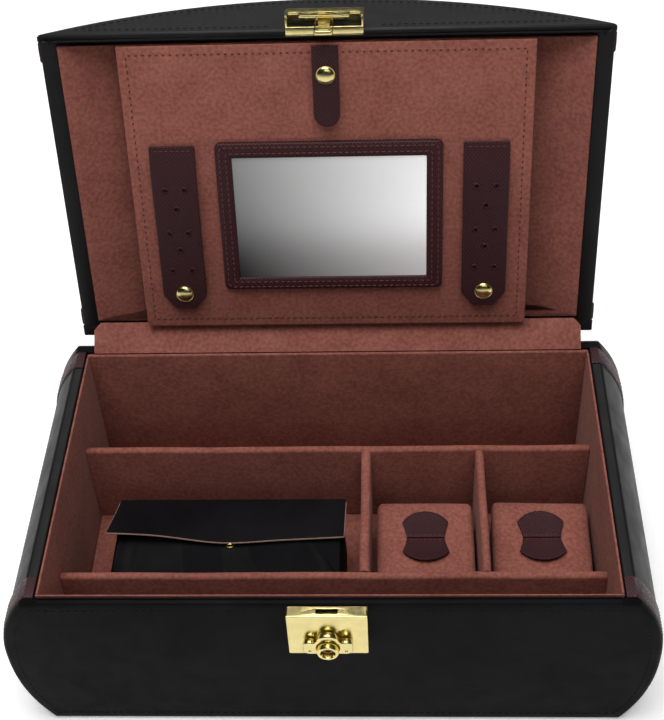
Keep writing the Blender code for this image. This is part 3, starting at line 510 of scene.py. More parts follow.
def stitch_rows(rows, pitch, length, radius, lean=0.0):
    """Thread stitches along rows of (points, outward normal)."""
    bm = bmesh.new()
    shape = ((-0.5, 0.55, -0.9), (-0.32, 0.95, 0.0), (0.0, 1.0, 0.25), (0.32, 0.95, 0.0), (0.5, 0.55, -0.9))
    for points, normal in rows:
        for k, (place, along) in enumerate(spaced(points, pitch)):
            out = normal(place) if callable(normal) else Vector(normal)
            along = (Matrix.Rotation(radians(lean), 3, out) @ along).normalized()
            side = out.cross(along).normalized()
            wander = side * 0.08 * noise.noise(place * 0.7 + Vector((k, 0, 0)))
            rings = []
            for share, size, lift in shape:
                middle = place + wander + along * length * share + out * radius * lift
                rings.append([bm.verts.new(middle + (side * cos(a) + out * sin(a)) * radius * size)
                              for a in (radians(60 * q) for q in range(6))])
            for here, there in zip(rings, rings[1:]):
                for q in range(6):
                    bm.faces.new((here[q], here[(q + 1) % 6], there[(q + 1) % 6], there[q]))
            bm.faces.new(rings[0])
            bm.faces.new(rings[-1])
    bmesh.ops.recalc_face_normals(bm, faces=bm.faces)
    return bm


def stitching(name, rows, size, mat, body, plane=SHUT):
    piece(name + "_stitching", stitch_rows(rows, *size), mat, body, plane)


# ---- outlines of the case

def barrel_x(z):
    reach = UPPER_REACH if z > BULGE_Z else LOWER_REACH
    return BULGE_X * (1.0 - (abs(z - BULGE_Z) / reach) ** SQUARENESS) ** (1.0 / SQUARENESS)


def base_path(low=0.0, steps=40):
    """The base outline as an open line, from the left rim down, under and up to the right rim."""
    heights = [low + (RIM - low) * i / steps for i in range(steps + 1)]
    right = [(barrel_x(z), z) for z in heights]
    return [(-x, z) for x, z in reversed(right)] + right


def inset_open(points, amount):
    """An open line moved inwards, its ends kept at their height."""
    moved = []
    for i, point in enumerate(points):
        here = Vector(point)
        first = (here - Vector(points[i - 1])).normalized() if i else None
        second = (Vector(points[i + 1]) - here).normalized() if i < len(points) - 1 else None
        first, second = first or second, second or first
        side = Vector((-first.y, first.x))
        mitre = (side + Vector((-second.y, second.x))).normalized()
        moved.append(here + mitre * amount / max(0.4, mitre.dot(side)))
    for end in (0, -1):
        moved[end].y = points[end][1]
    return [tuple(p) for p in moved]


def arch_line(inset=0.0, low=LID_EDGE, steps=64):
    """Points along the lid's arch, from right to left, down to a height above the rim."""
    radius = ARCH_R - inset
    height = LID_RIM + low
    half = sqrt(radius ** 2 - (height - ARCH_Z) ** 2)
    reach = degrees(asin(half / radius))
    return arc((0, ARCH_Z), radius, 90 - reach, 90 + reach, steps)


def arch_ring(inset=0.0, lift=None):
    """The closed outline of the lid's end, or one inside it."""
    lift = inset if lift is None else lift
    line = arch_line(inset, max(LID_EDGE, lift + 0.05))
    foot = min(LID_HALF - inset, line[0][0] + 0.1)
    return [(foot, LID_RIM + lift)] + line + [(-foot, LID_RIM + lift)]


def at_depth(outline, y):
    return [(x, y, z) for x, z in outline]


def rolled(radius, face, direction, steps=4):
    """(inset, y) pairs that roll an edge from a face back into the board."""
    pairs = []
    for i in range(steps + 1):
        angle = radians(90 * i / steps)
        pairs.append((radius * (1 - sin(angle)), face + direction * radius * (1 - cos(angle))))
    return pairs


def end_panel(outline_at, radius, face, inner):
    """A covered end board: a rounded face, then its edge back to just short of the barrel."""
    back = 1 if inner > face else -1
    return loft([at_depth(outline_at(inset), y) for inset, y in
                 rolled(radius, face, back) + [(0.0, inner - back * PANEL_TUCK)]])


# ---- base

def base_panels():
    outline = base_path()

    def outline_at(inset):
        return inset_closed(outline, inset)

    front = end_panel(outline_at, PANEL_ROUND, FRONT_FACE, BODY_FRONT)
    reach = 138.0
    roll = board((-reach, BODY_FRONT - 3.4, 14.0), (reach, -INNER_Y - 1.1, RIM), 1.5, 4)
    # The base front takes the low-specular copy of the black leather, which is painted shade that darkens it.
    piece("base_front_leather", joined(front, roll), "shaded_black_leather", "base", nodes=("base_front_panel",),
          angle=60)
    back = end_panel(outline_at, PANEL_ROUND, BACK_FACE, BODY_BACK)
    piece("base_back_leather", back, "black_leather", "base", nodes=("base_back_panel",), angle=60)

    line = outline_at(5.6)
    row = line + line[:1]
    beside_lock, below_lock = 25.0, 60
    runs = split_run(at_depth(row, FRONT_FACE), lambda p: abs(p[0]) > beside_lock or p[2] < below_lock)
    rows = [(run, FORWARD) for run in runs] + [(at_depth(row, BACK_FACE), BACKWARD)]
    stitching("base_panel", rows, PANEL_STITCH, "black_thread", "base")


def split_run(points, keep):
    """The stretches of a line whose points pass keep."""
    runs = []
    current = []
    for point in points:
        if keep(point):
            current.append(point)
        elif current:
            runs.append(current)
            current = []
    if current:
        runs.append(current)
    return [run for run in runs if len(run) > 1]


def base_body():
    """The leather-covered barrel that the panels close at both ends."""
    low = 1.3
    path = inset_open(base_path(low), 0.4)
    inside = [(WALL_INSIDE, BODY_FLOOR), (-WALL_INSIDE, BODY_FLOOR)]
    corner_r = [0.0] * len(path)
    corner_r[0] = corner_r[-1] = 2.4
    middle = len(path) // 2
    corner_r[middle - 1] = corner_r[middle] = 1.2
    outline = path + [(WALL_INSIDE, RIM)] + inside + [(-WALL_INSIDE, RIM)]
    outline = fillet(outline, corner_r + [1.0, 0.5, 0.5, 1.0])
    depths = [BODY_FRONT + (BODY_BACK - BODY_FRONT) * i / 6 for i in range(7)]
    bm = loft([at_depth(outline, y) for y in depths])
    piece("base_barrel_leather", bm, "black_leather", "base", nodes=("base_curved_body",), angle=50)


# Where each strip of edging starts, and which way it runs
EDGES = {"front": (BODY_FRONT + 0.1, 1), "back": (BODY_BACK - 0.1, -1)}


def edging_band(path_at, depth, width, direction):
    """A turned-in strip of leather along a curve. path_at gives the curve for an inset."""
    stack = [(0.0, 0.3), (0.1, -0.2), (0.9, -0.5), (width / 2, -0.56), (width - 0.9, -0.5),
             (width - 0.1, -0.2), (width, 0.3)]
    rings = [at_depth(path_at(inset), depth + direction * share) for share, inset in stack]
    return loft(rings, False, True)


def base_edging():
    def path_at(inset):
        side = inset_open(base_path(1.0), inset + 0.2)
        top = RIM + 0.3 - inset
        side[0], side[-1] = (side[0][0] + 1.2, top), (side[-1][0] - 1.2, top)
        return [(-138.9, top)] + side + [(138.9, top)]

    def out(place):
        sign = 1 if place.x > 0 else -1
        painted_reflection = (barrel_x(min(place.z + 1, RIM)) - barrel_x(min(place.z + 1, RIM) - 2)) / 2
        return Vector((sign, 0, -painted_reflection)).normalized()

    for name, (depth, direction) in EDGES.items():
        bm = edging_band(path_at, depth, EDGING_WIDTH, direction)
        piece(f"base_{name}_edging_leather", bm, "brown_leather", "base", nodes=(f"base_{name}_edging",))
        rows = []
        for share in (2.2, 5.9, 9.6):
            line = at_depth(path_at(-0.48), depth + direction * share)
            rows += [(run, out) for run in split_run(line[2:-2], lambda p: p[2] > 4)]
        stitching(f"base_{name}_edging", rows, EDGING_STITCH, "pale_thread", "base")


def linings():
    low, high = LINING_FOOT, RIM - 0.2
    outer = INNER_X + SIDE_LINING
    for name, near, far, edge in (("front", -INNER_Y - FRONT_LINING, -INNER_Y, 0.35),
                                  ("back", INNER_Y, INNER_Y + BACK_LINING, 0.9)):
        bm = board((-outer, near, low), (outer, far, high), edge)
        piece(f"{name}_lining_suede", bm, "rose_suede", "base", nodes=(f"{name}_lining",))
    for name, sign in (("left", -1), ("right", 1)):
        ends = sorted((sign * INNER_X, sign * outer))
        bm = board((ends[0], -INNER_Y + 0.3, low), (ends[1], INNER_Y - 0.3, high), 0.55)
        piece(f"{name}_lining_suede", bm, "rose_suede", "base", nodes=(f"{name}_lining",))
    depth = INNER_Y - 0.3
    bm = board((-DIVIDER_REACH, -depth, FLOOR_TOP - 2.5), (DIVIDER_REACH, depth, FLOOR_TOP), 0.8)
    piece("floor_suede", bm, "rose_suede", "base", nodes=("compartment_floor",))


def soft_board(low, high, radius, wave):
    """A suede-covered divider: round along its top, with a faint wander in the cloth."""
    x0, y0, z0 = low
    x1, y1, z1 = high
    along_x = x1 - x0 > y1 - y0
    length = x1 - x0 if along_x else y1 - y0
    half = (y1 - y0 if along_x else x1 - x0) / 2
    section = fillet([(-half, z0), (half, z0), (half, z1), (-half, z1)], [0.3, 0.3, radius, radius], 5)
    steps = max(12, int(length / 4))
    rings = []
    for i in range(steps + 1):
        t = length * i / steps
        ring = []
        for a, z in section:
            bend = wave * noise.noise(Vector((t * 0.03, z * 0.03, x0)))
            drop = wave * 0.6 * noise.noise(Vector((t * 0.05, 9.0, x0))) if z > z1 - 3 else 0.0
            edge = min(1.0, t / 8, (length - t) / 8)
            across = a + bend * edge
            if along_x:
                ring.append((x0 + t, (y0 + y1) / 2 + across, z + drop * edge))
            else:
                ring.append(((x0 + x1) / 2 + across, y0 + t, z + drop * edge))
        rings.append(ring)
    return loft(rings)


def dividers():
    low = FLOOR_TOP + 0.3
    for name, (front, back) in (("rear", REAR_DIVIDER), ("front", FRONT_DIVIDER)):
        bm = soft_board((-DIVIDER_REACH, front, low), (DIVIDER_REACH, back, DIVIDER_TOP), 1.9, 0.5)
        piece(f"{name}_divider_suede", bm, "rose_suede", "base", nodes=(f"{name}_divider",))
    for name, (left, right) in CROSS_DIVIDERS.items():
        bm = soft_board((left, FRONT_DIVIDER[1] + 0.1, low),
                        (right, REAR_DIVIDER[0] - 0.1, DIVIDER_TOP - 0.2), 2.0, 0.4)
        piece(f"cross_divider_{name}_suede", bm, "rose_suede", "base", nodes=(f"cross_divider_{name}",))


def hinge_strip():
    """The lining strip over the hinge, drawn as it lies with the lid open, though the real strip bends as the lid
    shuts.
    """
    start = Vector((0, INNER_Y + 1.6, RIM + 0.3))
    reach = HINGE.y - INNER_Y - 0.2
    swing = radians(LID_SWING)
    end = Vector((0, HINGE.y - reach * cos(swing), HINGE.z + reach * sin(swing)))
    along = (end - start).normalized()
    length = (end - start).length - 0.6
    out = Vector((0, -along.z, along.y))
    rows, columns = 16, 40
    shell = []
    for face in (0.9, 0.0):
        for i in range(rows + 1) if face else reversed(range(rows + 1)):
            t = length * i / rows
            half = 134.0 - max(0.0, t - (length - 4.0)) * 0.9
            crown = 0.25 * sin(pi * i / rows)
            point = start + along * t + out * (face + crown - 0.35)
            shell.append([(half * (2 * k / columns - 1), point.y, point.z) for k in range(columns + 1)])
    bm = loft(shell, False, True)
    strip = piece("hinge_strip_suede", bm, "rose_suede", None, nodes=("hinge_cover_strip",))
    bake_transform(strip)


# ---- lid

def lid_panels():
    front = end_panel(arch_ring, LID_PANEL_ROUND, FRONT_FACE, BODY_FRONT)
    roll = loft([at_depth(arch_ring(inset), y) for inset, y in
                 ((0.1, BODY_FRONT - 1.0), (0.1, BODY_FRONT - 0.1), (0.2, -INNER_Y - 2.2),
                  (0.8, -INNER_Y - 1.3), (2.0, -INNER_Y - 0.95))])
    for vert in roll.verts:
        over = hypot(vert.co.x, vert.co.z - ARCH_Z) - (ARCH_R - 4.9)
        if over > 0 and vert.co.z > LID_RIM + 3.5:
            vert.co.z -= over
    piece("lid_front_leather", joined(front, roll), "black_leather", "lid", LID, ("lid_front_panel",), 60)
    back = end_panel(arch_ring, LID_PANEL_ROUND, BACK_FACE, BODY_BACK)
    piece("lid_back_leather", back, "black_leather", "lid", LID, ("lid_back_panel",), 60)
    rows = []
    for y, normal in ((FRONT_FACE, FORWARD), (BACK_FACE, BACKWARD)):
        rows.append((at_depth(arch_line(5.4, 5.4), y), normal))
        rows += [([(sign * 27, y, LID_RIM + 5.2), (sign * 118, y, LID_RIM + 5.2)], normal) for sign in (-1, 1)]
    stitching("lid_panel", rows, PANEL_STITCH, "black_thread", "lid", LID)


def lid_shell(outer, inner, front, back, radius, steps=6):
    """A band under the arch between two insets, its rims rounded."""
    outside = arch_ring(outer, 0.0)
    inside = arch_line(inner, 0.0)
    outline = outside + inside[::-1]
    radii = [0.0] * len(outline)
    for place in (0, len(outside) - 1):
        radii[place] = radius
    outline = fillet(outline, radii, 4)
    return loft([at_depth(outline, front + (back - front) * i / steps) for i in range(steps + 1)])


def lid_body():
    piece("lid_barrel_leather", lid_shell(0.3, 4.7, BODY_FRONT, BODY_BACK, 0.7), "black_leather", "lid", LID,
          ("lid_curved_body",), 50)
    piece("lid_arch_suede", lid_shell(5.1, 5.8, -INNER_Y + 0.3, INNER_Y - 0.3, 0.25), "rose_suede", "lid", LID,
          ("lid_arch_lining",), 50)
    for name, near, far in (("front", -INNER_Y - FRONT_LINING, -INNER_Y),
                            ("back", INNER_Y, INNER_Y + BACK_LINING)):
        rings = [at_depth(arch_ring(inset), y) for inset, y in
                 ((5.4, near), (5.1, near + 0.3), (5.1, far - 0.3), (5.4, far))]
        piece(f"lid_{name}_suede", loft(rings), "rose_suede", "lid", LID, (f"lid_{name}_lining",), 60)


def lid_edging():
    def path_at(inset):
        return arch_line(inset + 0.62, 0.7)

    def out(place):
        return Vector((place.x, 0, place.z - ARCH_Z)).normalized()

    for name, (depth, direction) in EDGES.items():
        bm = edging_band(path_at, depth, LID_EDGING_WIDTH, direction)
        piece(f"lid_{name}_edging_leather", bm, "brown_leather", "lid", LID, (f"lid_{name}_edging",))
        rows = [(at_depth(path_at(-0.46), depth + direction * share), out) for share in (2.6, 8.2)]
        stitching(f"lid_{name}_edging", rows, EDGING_STITCH, "pale_thread", "lid", LID)


# ---- panel inside the lid

def flap_panel():
    bm = board((-FLAP_HALF, 0, -FLAP_THICK), (FLAP_HALF, FLAP_LENGTH, 0), 0.9, 4)
    piece("flap_suede", bm, "rose_suede", "lid_flap", FLAP, ("lid_flap_board",))
    inside = 4.7
    x, low, high = FLAP_HALF - inside, inside, FLAP_LENGTH - inside
    edges = [[(-x, low), (-x, high)], [(-x, high), (x, high)], [(x, high), (x, low)]]
    rows = [([(a, b, 0.02) for a, b in edge], UP) for edge in edges]
    stitching("flap", rows, (3.4, 1.7, 0.34), "rose_thread", "lid_flap", FLAP)
    rows = [([(-x, low, 0.02), (x, low, 0.02)], UP)]
    stitching("flap_lower", rows, (3.4, 2.5, 0.34, 12), "rose_thread", "lid_flap", FLAP)
    bm = board((-98, INNER_Y - 1.1, LID_RIM - 3.6), (98, INNER_Y - 0.3, LID_RIM + 9), 0.3)
    piece("flap_tape_suede", bm, "rose_suede", "lid", LID, ("flap_hinge_tape",))


def mirror():
    bm = board((-51.8, 29.1, 0.3), (51.8, 102.2, 2.0), 0.5)
    piece("mirror_silvered_glass", bm, "mirror", "lid_flap", FLAP, ("mirror_glass",))
    outer = (-58.0, 24.0, 58.0, 108.2, 3.2)
    inner = (-MIRROR_HALF, MIRROR_LOW, MIRROR_HALF, MIRROR_HIGH, 0.7)
    rings = []
    for share, height in ((0.0, 0.3), (0.0, 2.3), (0.04, 2.75), (0.12, 3.1), (0.3, 3.25), (0.7, 3.25),
                          (0.88, 3.1), (0.97, 2.7), (1.0, 2.2), (1.0, 1.6)):
        x0, y0, x1, y1, radius = (a + (b - a) * share for a, b in zip(outer, inner))
        rings.append([(a, b, height) for a, b in rectangle(x0, y0, x1, y1, radius, 8)])
    bm = loft(rings, True, True)
    piece("mirror_frame_leather", bm, "brown_leather", "lid_flap", FLAP, ("mirror_frame",))
    rows = []
    for share in (0.27, 0.66):
        x0, y0, x1, y1, radius = (a + (b - a) * share for a, b in zip(outer, inner))
        ring = [(a, b, 3.27) for a, b in rectangle(x0, y0, x1, y1, radius, 8)]
        rows.append((ring + ring[:1], UP))
    stitching("mirror_frame", rows, (3.1, 2.3, 0.3), "red_thread", "lid_flap", FLAP)


def subdivided(bm, longest):
    """Cuts long edges so that a flat piece can be bent."""
    for _ in range(6):
        long_edges = [e for e in bm.edges if e.calc_length() > longest]
        if not long_edges:
            break
        bmesh.ops.subdivide_edges(bm, edges=long_edges, cuts=1)
        bmesh.ops.triangulate(bm, faces=[f for f in bm.faces if len(f.verts) > 4])
    return bm


def strap_rise(v, drop=2.2, reach=20.0):
    """How high an earring strap stands at v: down by its stitched root, up over its stud."""
    share = min(1.0, max(0.0, (STRAP_ROOT - v) / reach))
    return STRAP_LIFT - drop * (1.0 - share * share * (3 - 2 * share))


def earring_straps():
    for side, sign in (("left", -1), ("right", 1)):
        x = sign * STRAP_X
        w = STRAP_HALF
        outline = fillet([(x - w, STRAP_END + 8.5), (x - w + 6.5, STRAP_END), (x + w - 6.5, STRAP_END),
                          (x + w, STRAP_END + 8.5), (x + w, STRAP_ROOT), (x - w, STRAP_ROOT)],
                         [2.5, 2.5, 2.5, 2.5, 0.8, 0.8])
        centres = [(x + shift, row) for row, spread in HOLE_ROWS for shift in sorted({-spread, spread})]
        holes = [arc(centre, 1.0, 0, 337.5, 15) for centre in centres]
        strap = subdivided(cut_plate([outline] + holes, 0.0, STRAP_THICK, 0.4), 5.0)
        eyelets = [turned([(1.0, 1.3), (1.15, 1.72), (1.5, 1.8), (1.9, 1.62), (2.05, 1.4), (1.5, 1.2)], 20,
                          Matrix.Translation((a, b, 0))) for a, b in centres]
        for ring in eyelets:
            join(strap, ring)
        for vert in strap.verts:
            vert.co.z += strap_rise(vert.co.y)
        piece(f"earring_strap_{side}_leather", strap, "brown_leather", f"{side}_earring_strap", FLAP,
              (f"earring_strap_{side}",))
        row = STRAP_ROOT - 2.4
        edge = [(a, row, STRAP_THICK + strap_rise(row)) for a in (x - w + 2, x + w - 2)]
        stitching(f"earring_strap_{side}", [(edge, UP)], (2.8, 2.0, 0.26), "red_thread",
                  f"{side}_earring_strap", FLAP)
        stud(f"strap_stud_cap_{side}", x, STRAP_STUD, STUD_HEIGHT, f"{side}_earring_strap")
        socket(f"strap_stud_socket_{side}", x, STRAP_STUD)


def stud(node, u, v, height, body, radius=4.8, plane=FLAP):
    """The domed cap of a press stud, with a rolled rim."""
    dome = [(0.0, 2.0)] + [(radius * 0.9 * sin(radians(a)), 0.75 + 1.25 * cos(radians(a)))
                           for a in (15, 30, 45, 60, 75, 88)]
    scale = radius / 4.8
    rim = [(radius * 0.92, 0.62), (radius * 0.98, 0.66), (radius, 0.4), (radius * 0.99, 0.12),
           (radius * 0.93, 0.0), (0.0, 0.0)]
    profile = [(r, z * scale) for r, z in dome + rim]
    bm = turned(profile, 56, Matrix.Translation((u, v, height)))
    piece(node + "_brass", bm, "gold_metal", body, plane, (node,), 50)


def socket(node, u, v):
    """The half of a press stud that a cap snaps onto."""
    profile = [(0.0, 2.3), (1.9, 2.3), (2.3, 2.1), (2.5, 1.4), (3.4, 1.1), (4.2, 0.8), (4.2, 0.1), (0.0, 0.1)]
    bm = turned(profile, 40, Matrix.Translation((u, v, 0)))
    piece(node + "_brass", bm, "gold_metal", "lid_flap", FLAP, (node,), 50)


def retaining_strap():
    half, root, end = 6.6, 158.8, 117.0
    outline = arc((0, end + half), half, 180, 360, 24) + [(half, root), (-half, root)]
    strap = subdivided(cut_plate([outline], 0.0, STRAP_THICK, 0.4), 4.0)
    for vert in strap.verts:
        vert.co.z += STRAP_LIFT + 0.5 * max(0.0, (RETAINER_STUD - 8 - vert.co.y) / 20) ** 2
    piece("retaining_strap_leather", strap, "brown_leather", "retaining_tab", FLAP, ("retaining_strap",))
    stud("retaining_stud_cap", 0, RETAINER_STUD, STUD_HEIGHT, "retaining_tab")
    socket("retaining_stud_socket", 0, RETAINER_STUD)


# ---- pads and pouch

def cushion(centre, half, low, high, radius, crown, pull, turn, seed):
    """A stuffed block: soft edges, a crowned top and sides that pull in."""
    cuts = 18
    bm = bmesh.new()
    bmesh.ops.create_cube(bm, size=2.0)
    bmesh.ops.subdivide_edges(bm, edges=bm.edges, cuts=cuts, use_grid_fill=True)
    height = (high - low) / 2
    size = Vector((half[0], half[1], height))
    core = size - Vector((radius,) * 3)
    spin = Matrix.Rotation(radians(turn), 4, "Z")
    for vert in bm.verts:
        share = Vector(sin(c * pi / 2) for c in vert.co)
        point = Vector(a * b for a, b in zip(share, size))
        inner = Vector(max(-c, min(c, p)) for c, p in zip(core, point))
        away = point - inner
        if away.length > 1e-6:
            point = inner + away.normalized() * radius
        level = point.z / height
        waist = 1.0 - pull * (1.0 - level ** 2)
        point.x *= waist
        point.y *= waist
        flat = (1 - (point.x / size.x) ** 2) * (1 - (point.y / size.y) ** 2)
        if level > 0:
            point.z -= crown * (1 - max(0.0, flat)) * level
        point += Vector((0.35, 0.35, 0.12)) * noise.noise(point * 0.06 + Vector((seed, 0, 0)))
        vert.co = spin @ point + Vector((centre[0], centre[1], (low + high) / 2))
    return bm


def seam_ring(centre, half, z, radius, thickness, turn):
    outline = rectangle(-half[0], -half[1], half[0], half[1], radius, 6)
    spin = Matrix.Rotation(radians(turn), 4, "Z")
    points = [spin @ Vector((x, y, 0)) + Vector((centre[0], centre[1], z)) for x, y in outline]
    return cord(points, thickness, 8, True)


def pads():
    for side, (x, y, turn) in PADS.items():
        bm = cushion((x, y), (25.9, 26.9), FLOOR_TOP + 0.3, PAD_TOP, 3.6, 1.3, 0.02, turn, x)
        pad = piece(f"pad_{side}_cushion", bm, "rose_suede", f"{side}_pad", nodes=(f"pad_{side}",), angle=80)
        bm = seam_ring((x, y), (25.0, 26.0), PAD_TOP - 7.0, 4.6, 0.45, turn)
        piece(f"pad_{side}_seam", bm, "rose_suede", f"{side}_pad", angle=80)


def petal(x, y, direction, reach):
    """Half of an hourglass pull tab, from its waist out to its rounded end."""
    waist, shoulder = 9.9, 12.2
    rise = reach * 0.4
    radius = (shoulder ** 2 + rise ** 2) / (2 * rise)
    spread = degrees(asin(shoulder / radius))
    end = arc((0, reach - radius), radius, 90 - spread, 90 + spread, 22)
    points = [(waist, 0.25), (waist + 0.5, reach * 0.22)] + end + [(-waist - 0.5, reach * 0.22), (-waist, 0.25)]
    points = [(x + a, y + direction * b) for a, b in points]
    return points if direction > 0 else points[::-1]


def pull_tabs():
    for side, (x, y, _) in PADS.items():
        for part, place, direction, reach in (("upper", "rear", 1, 17.1), ("lower", "front", -1, 15.6)):
            bm = subdivided(cut_plate([petal(x, y, direction, reach)], 0.0, 1.2, 0.35), 3.0)
            lift = 0.8 if part == "upper" else 1.6
            for vert in bm.verts:
                vert.co.z += PAD_TOP + 0.3 + lift * (abs(vert.co.y - y) / reach) ** 2.2
            body = f"{side}_tab_{place}"
            piece(f"tab_{side}_{part}_leather", bm, "brown_leather", body, nodes=(f"tab_{side}_{part}",))
            line = [(x + end, y + direction * 1.5, PAD_TOP + 1.55) for end in (-8.8, 8.8)]
            stitching(f"tab_{side}_{part}", [(line, UP)], (2.5, 1.8, 0.24), "red_thread", body)


def pouch():
    """A soft clutch with an open mouth under its cover. It sags out to the left."""
    radius, sag = 5.0, 2.4
    mouth_half, mouth_front, mouth_back = 57.5, -12, 6.8

    def painted_reflection(y):
        return POUCH_RISE * (y - POUCH_FRONT) / (POUCH_BACK - POUCH_FRONT)

    def ring(inset, z, top=False):
        x0, x1 = POUCH_X - POUCH_HALF - sag + inset, POUCH_X + POUCH_HALF - inset
        y0, y1 = POUCH_FRONT + inset, POUCH_BACK - inset
        outline = evened(rectangle(x0, y0, x1, y1, max(1.5, radius - inset * 0.5), 6))
        return [(x, y, z + (painted_reflection(y) if top else 0.0)
                 + 0.12 * noise.noise(Vector((x * 0.05, y * 0.05, z * 0.07)))) for x, y in outline]

    def mouth(z, grow):
        outline = rectangle(POUCH_X - mouth_half - grow, mouth_front - grow,
                            POUCH_X + mouth_half + grow, mouth_back + grow, 2.0, 6)
        return [(x, y, z + painted_reflection(y)) for x, y in evened(outline)]

    rings = [ring(3.0, 17.3), ring(1.0, 18.3), ring(0.2, 21.0), ring(0.5, 30.0), ring(0.9, 38.0), ring(0.6, 46.0),
             ring(0.3, 51.5), ring(0.9, 54.0), ring(2.4, 55.2, True), ring(2.6, 55.6, True)]
    rings += [mouth(55.5, -0.2), mouth(54.6, -0.6), mouth(50.0, -0.6), mouth(21.0, -0.6)]
    bm = loft(rings)
    # The pouch takes the low-specular copy of the black leather, which is painted shade that darkens it.
    body = piece("pouch_leather", bm, "shaded_black_leather", "pouch", nodes=("pouch_body",), angle=60)


def evened(outline, count=96):
    """A closed outline as a given number of evenly spaced points."""
    loop = [Vector(p) for p in outline] + [Vector(outline[0])]
    total = sum((b - a).length for a, b in zip(loop, loop[1:]))
    points = []
    walked, step = 0.0, 0
    for a, b in zip(loop, loop[1:]):
        length = (b - a).length
        while step < count and total * step / count <= walked + length + 1e-9:
            share = (total * step / count - walked) / length if length > 0 else 0.0
            points.append(tuple(a.lerp(b, share)))
            step += 1
        walked += length
    return points


def cover_front(x):
    """The pouch cover's front edge, with a shallow point at its middle."""
    return -24.6 - 3.0 * exp(-(x / 26.0) ** 2)


def cover_height(x, share):
    """How far the cover lifts at x, a share of the way from its fold to its front edge."""
    corner = 1.6 * (abs(x) / 62.0) ** 3 - 2.1 * x / 62.0
    dip = 1.3 * exp(-(x / 22.0) ** 2)
    wave = 0.35 * sin(x / 8.5 + 0.6)
    crown = 0.7 * sin(pi * share)
    return share ** 2 * (corner - dip + wave) + crown


def pouch_cover():
    columns, rows = 62, 12

    def row(share, drop):
        points = []
        for i in range(columns + 1):
            across = 2 * i / columns - 1
            x = across * (COVER_HALF + (1.8 - 2.5 * across) * share)
            y = 0.4 + (cover_front(x) - 0.4) * share
            points.append((x, y, COVER_TOP + cover_height(x, share) - drop))
        return points

    shell = [row(j / rows, 0.0) for j in range(rows + 1)]
    shell += [row(j / rows, COVER_THICK) for j in reversed(range(rows + 1))]
    bm = loft(shell, False, True)
    # The cover takes the low-specular copy of the black leather, which is painted shade that darkens it.
    piece("pouch_cover_leather", bm, "shaded_black_leather", "pouch_cover", COVER, ("pouch_flap",), 60)
    front = row(1.0, 0.62)
    left = [row(j / rows, 0.62)[0] for j in range(1, rows + 1)]
    right = [row(j / rows, 0.62)[-1] for j in reversed(range(1, rows + 1))]
    bm = cord(left[:-1] + front + right[1:], 0.5, 8)
    piece("pouch_cover_raw_edge", bm, "raw_edge", "pouch_cover", COVER)
    line = [(x, y + 2.6, z + 0.6) for x, y, z in front][2:-2]
    stitching("pouch_cover", [(line, UP)], (3.2, 2.3, 0.22), "black_thread", "pouch_cover", COVER)
    stud("pouch_stud_cap", 0, cover_front(0) + 1.6, 0.1 + cover_height(0, 0.95), "pouch_cover", 2.6, COVER)


# ---- lock

def facing_front(x, y, z):
    """A plane at a point, with its Z out of the front."""
    return Matrix.Translation((x, y, z)) @ Matrix.Rotation(radians(90), 4, "X")


def case_walls(front, low, high):
    """The two side walls of a lock's brass case."""
    sheet = 1
    return [board((min(a, b), front + 0.4, low), (max(a, b), LOCK_BACK, high), 0.3)
            for a, b in ((-LOCK_HALF, -LOCK_HALF + sheet), (LOCK_HALF - sheet, LOCK_HALF))]


def lock_case():
    """A folded brass case with a slot in its top."""
    bore = arc((0, BARREL_Z), 2.5, 0, 350, 35)[::-1]
    face = front_plate([rectangle(-LOCK_HALF, LOCK_BOTTOM, LOCK_HALF, LOCK_TOP, 0.8), bore], LOCK_FRONT,
                       LOCK_FRONT + 1.3, 0.45)
    top = cut_plate([rectangle(-LOCK_HALF, LOCK_FRONT + 0.2, LOCK_HALF, LOCK_BACK, 0.3),
                     rectangle(-5.0, LOCK_FRONT + 1.9, 5.0, LOCK_BACK - 1.4, 0.3)[::-1]],
                    LOCK_TOP - 1.1, LOCK_TOP, 0.3)
    foot = board((-LOCK_HALF, LOCK_FRONT + 0.4, LOCK_BOTTOM), (LOCK_HALF, LOCK_BACK, LOCK_BOTTOM + 1.0), 0.3)
    walls = case_walls(LOCK_FRONT, LOCK_BOTTOM, LOCK_TOP)
    piece("lock_case_brass", joined(face, top, foot, *walls), "gold_metal", "base", nodes=("lock_case",))


def escutcheon():
    """Three lobed bosses on one thick plate, around the barrel."""
    right = arc((LOBE_X, BARREL_Z + 1.6), LOBE_R, 0, 125, 14)
    crown = arc((0, BARREL_Z + 4.6), 5.2, 8, 172, 26)
    foot = arc((LOBE_X, BARREL_Z - 1.4), LOBE_R, -90, 0, 9)
    outline = foot + right + crown + [(-x, z) for x, z in reversed(foot + right)]
    hole = arc((0, BARREL_Z), 5.4, 0, 352.5, 47)[::-1]
    front = LOCK_FRONT - 3.7
    plate = front_plate([outline, hole], front, LOCK_FRONT - 0.3, 0.9)
    pins = [turned([(0.0, 0.5), (0.55, 0.45), (0.9, 0.1), (0.9, -0.6), (0.0, -0.6)], 20,
                   facing_front(sign * LOBE_X, front, BARREL_Z - 2.3)) for sign in (-1, 1)]
    piece("escutcheon_brass", joined(plate, *pins), "gold_metal", "base", nodes=("escutcheon",))


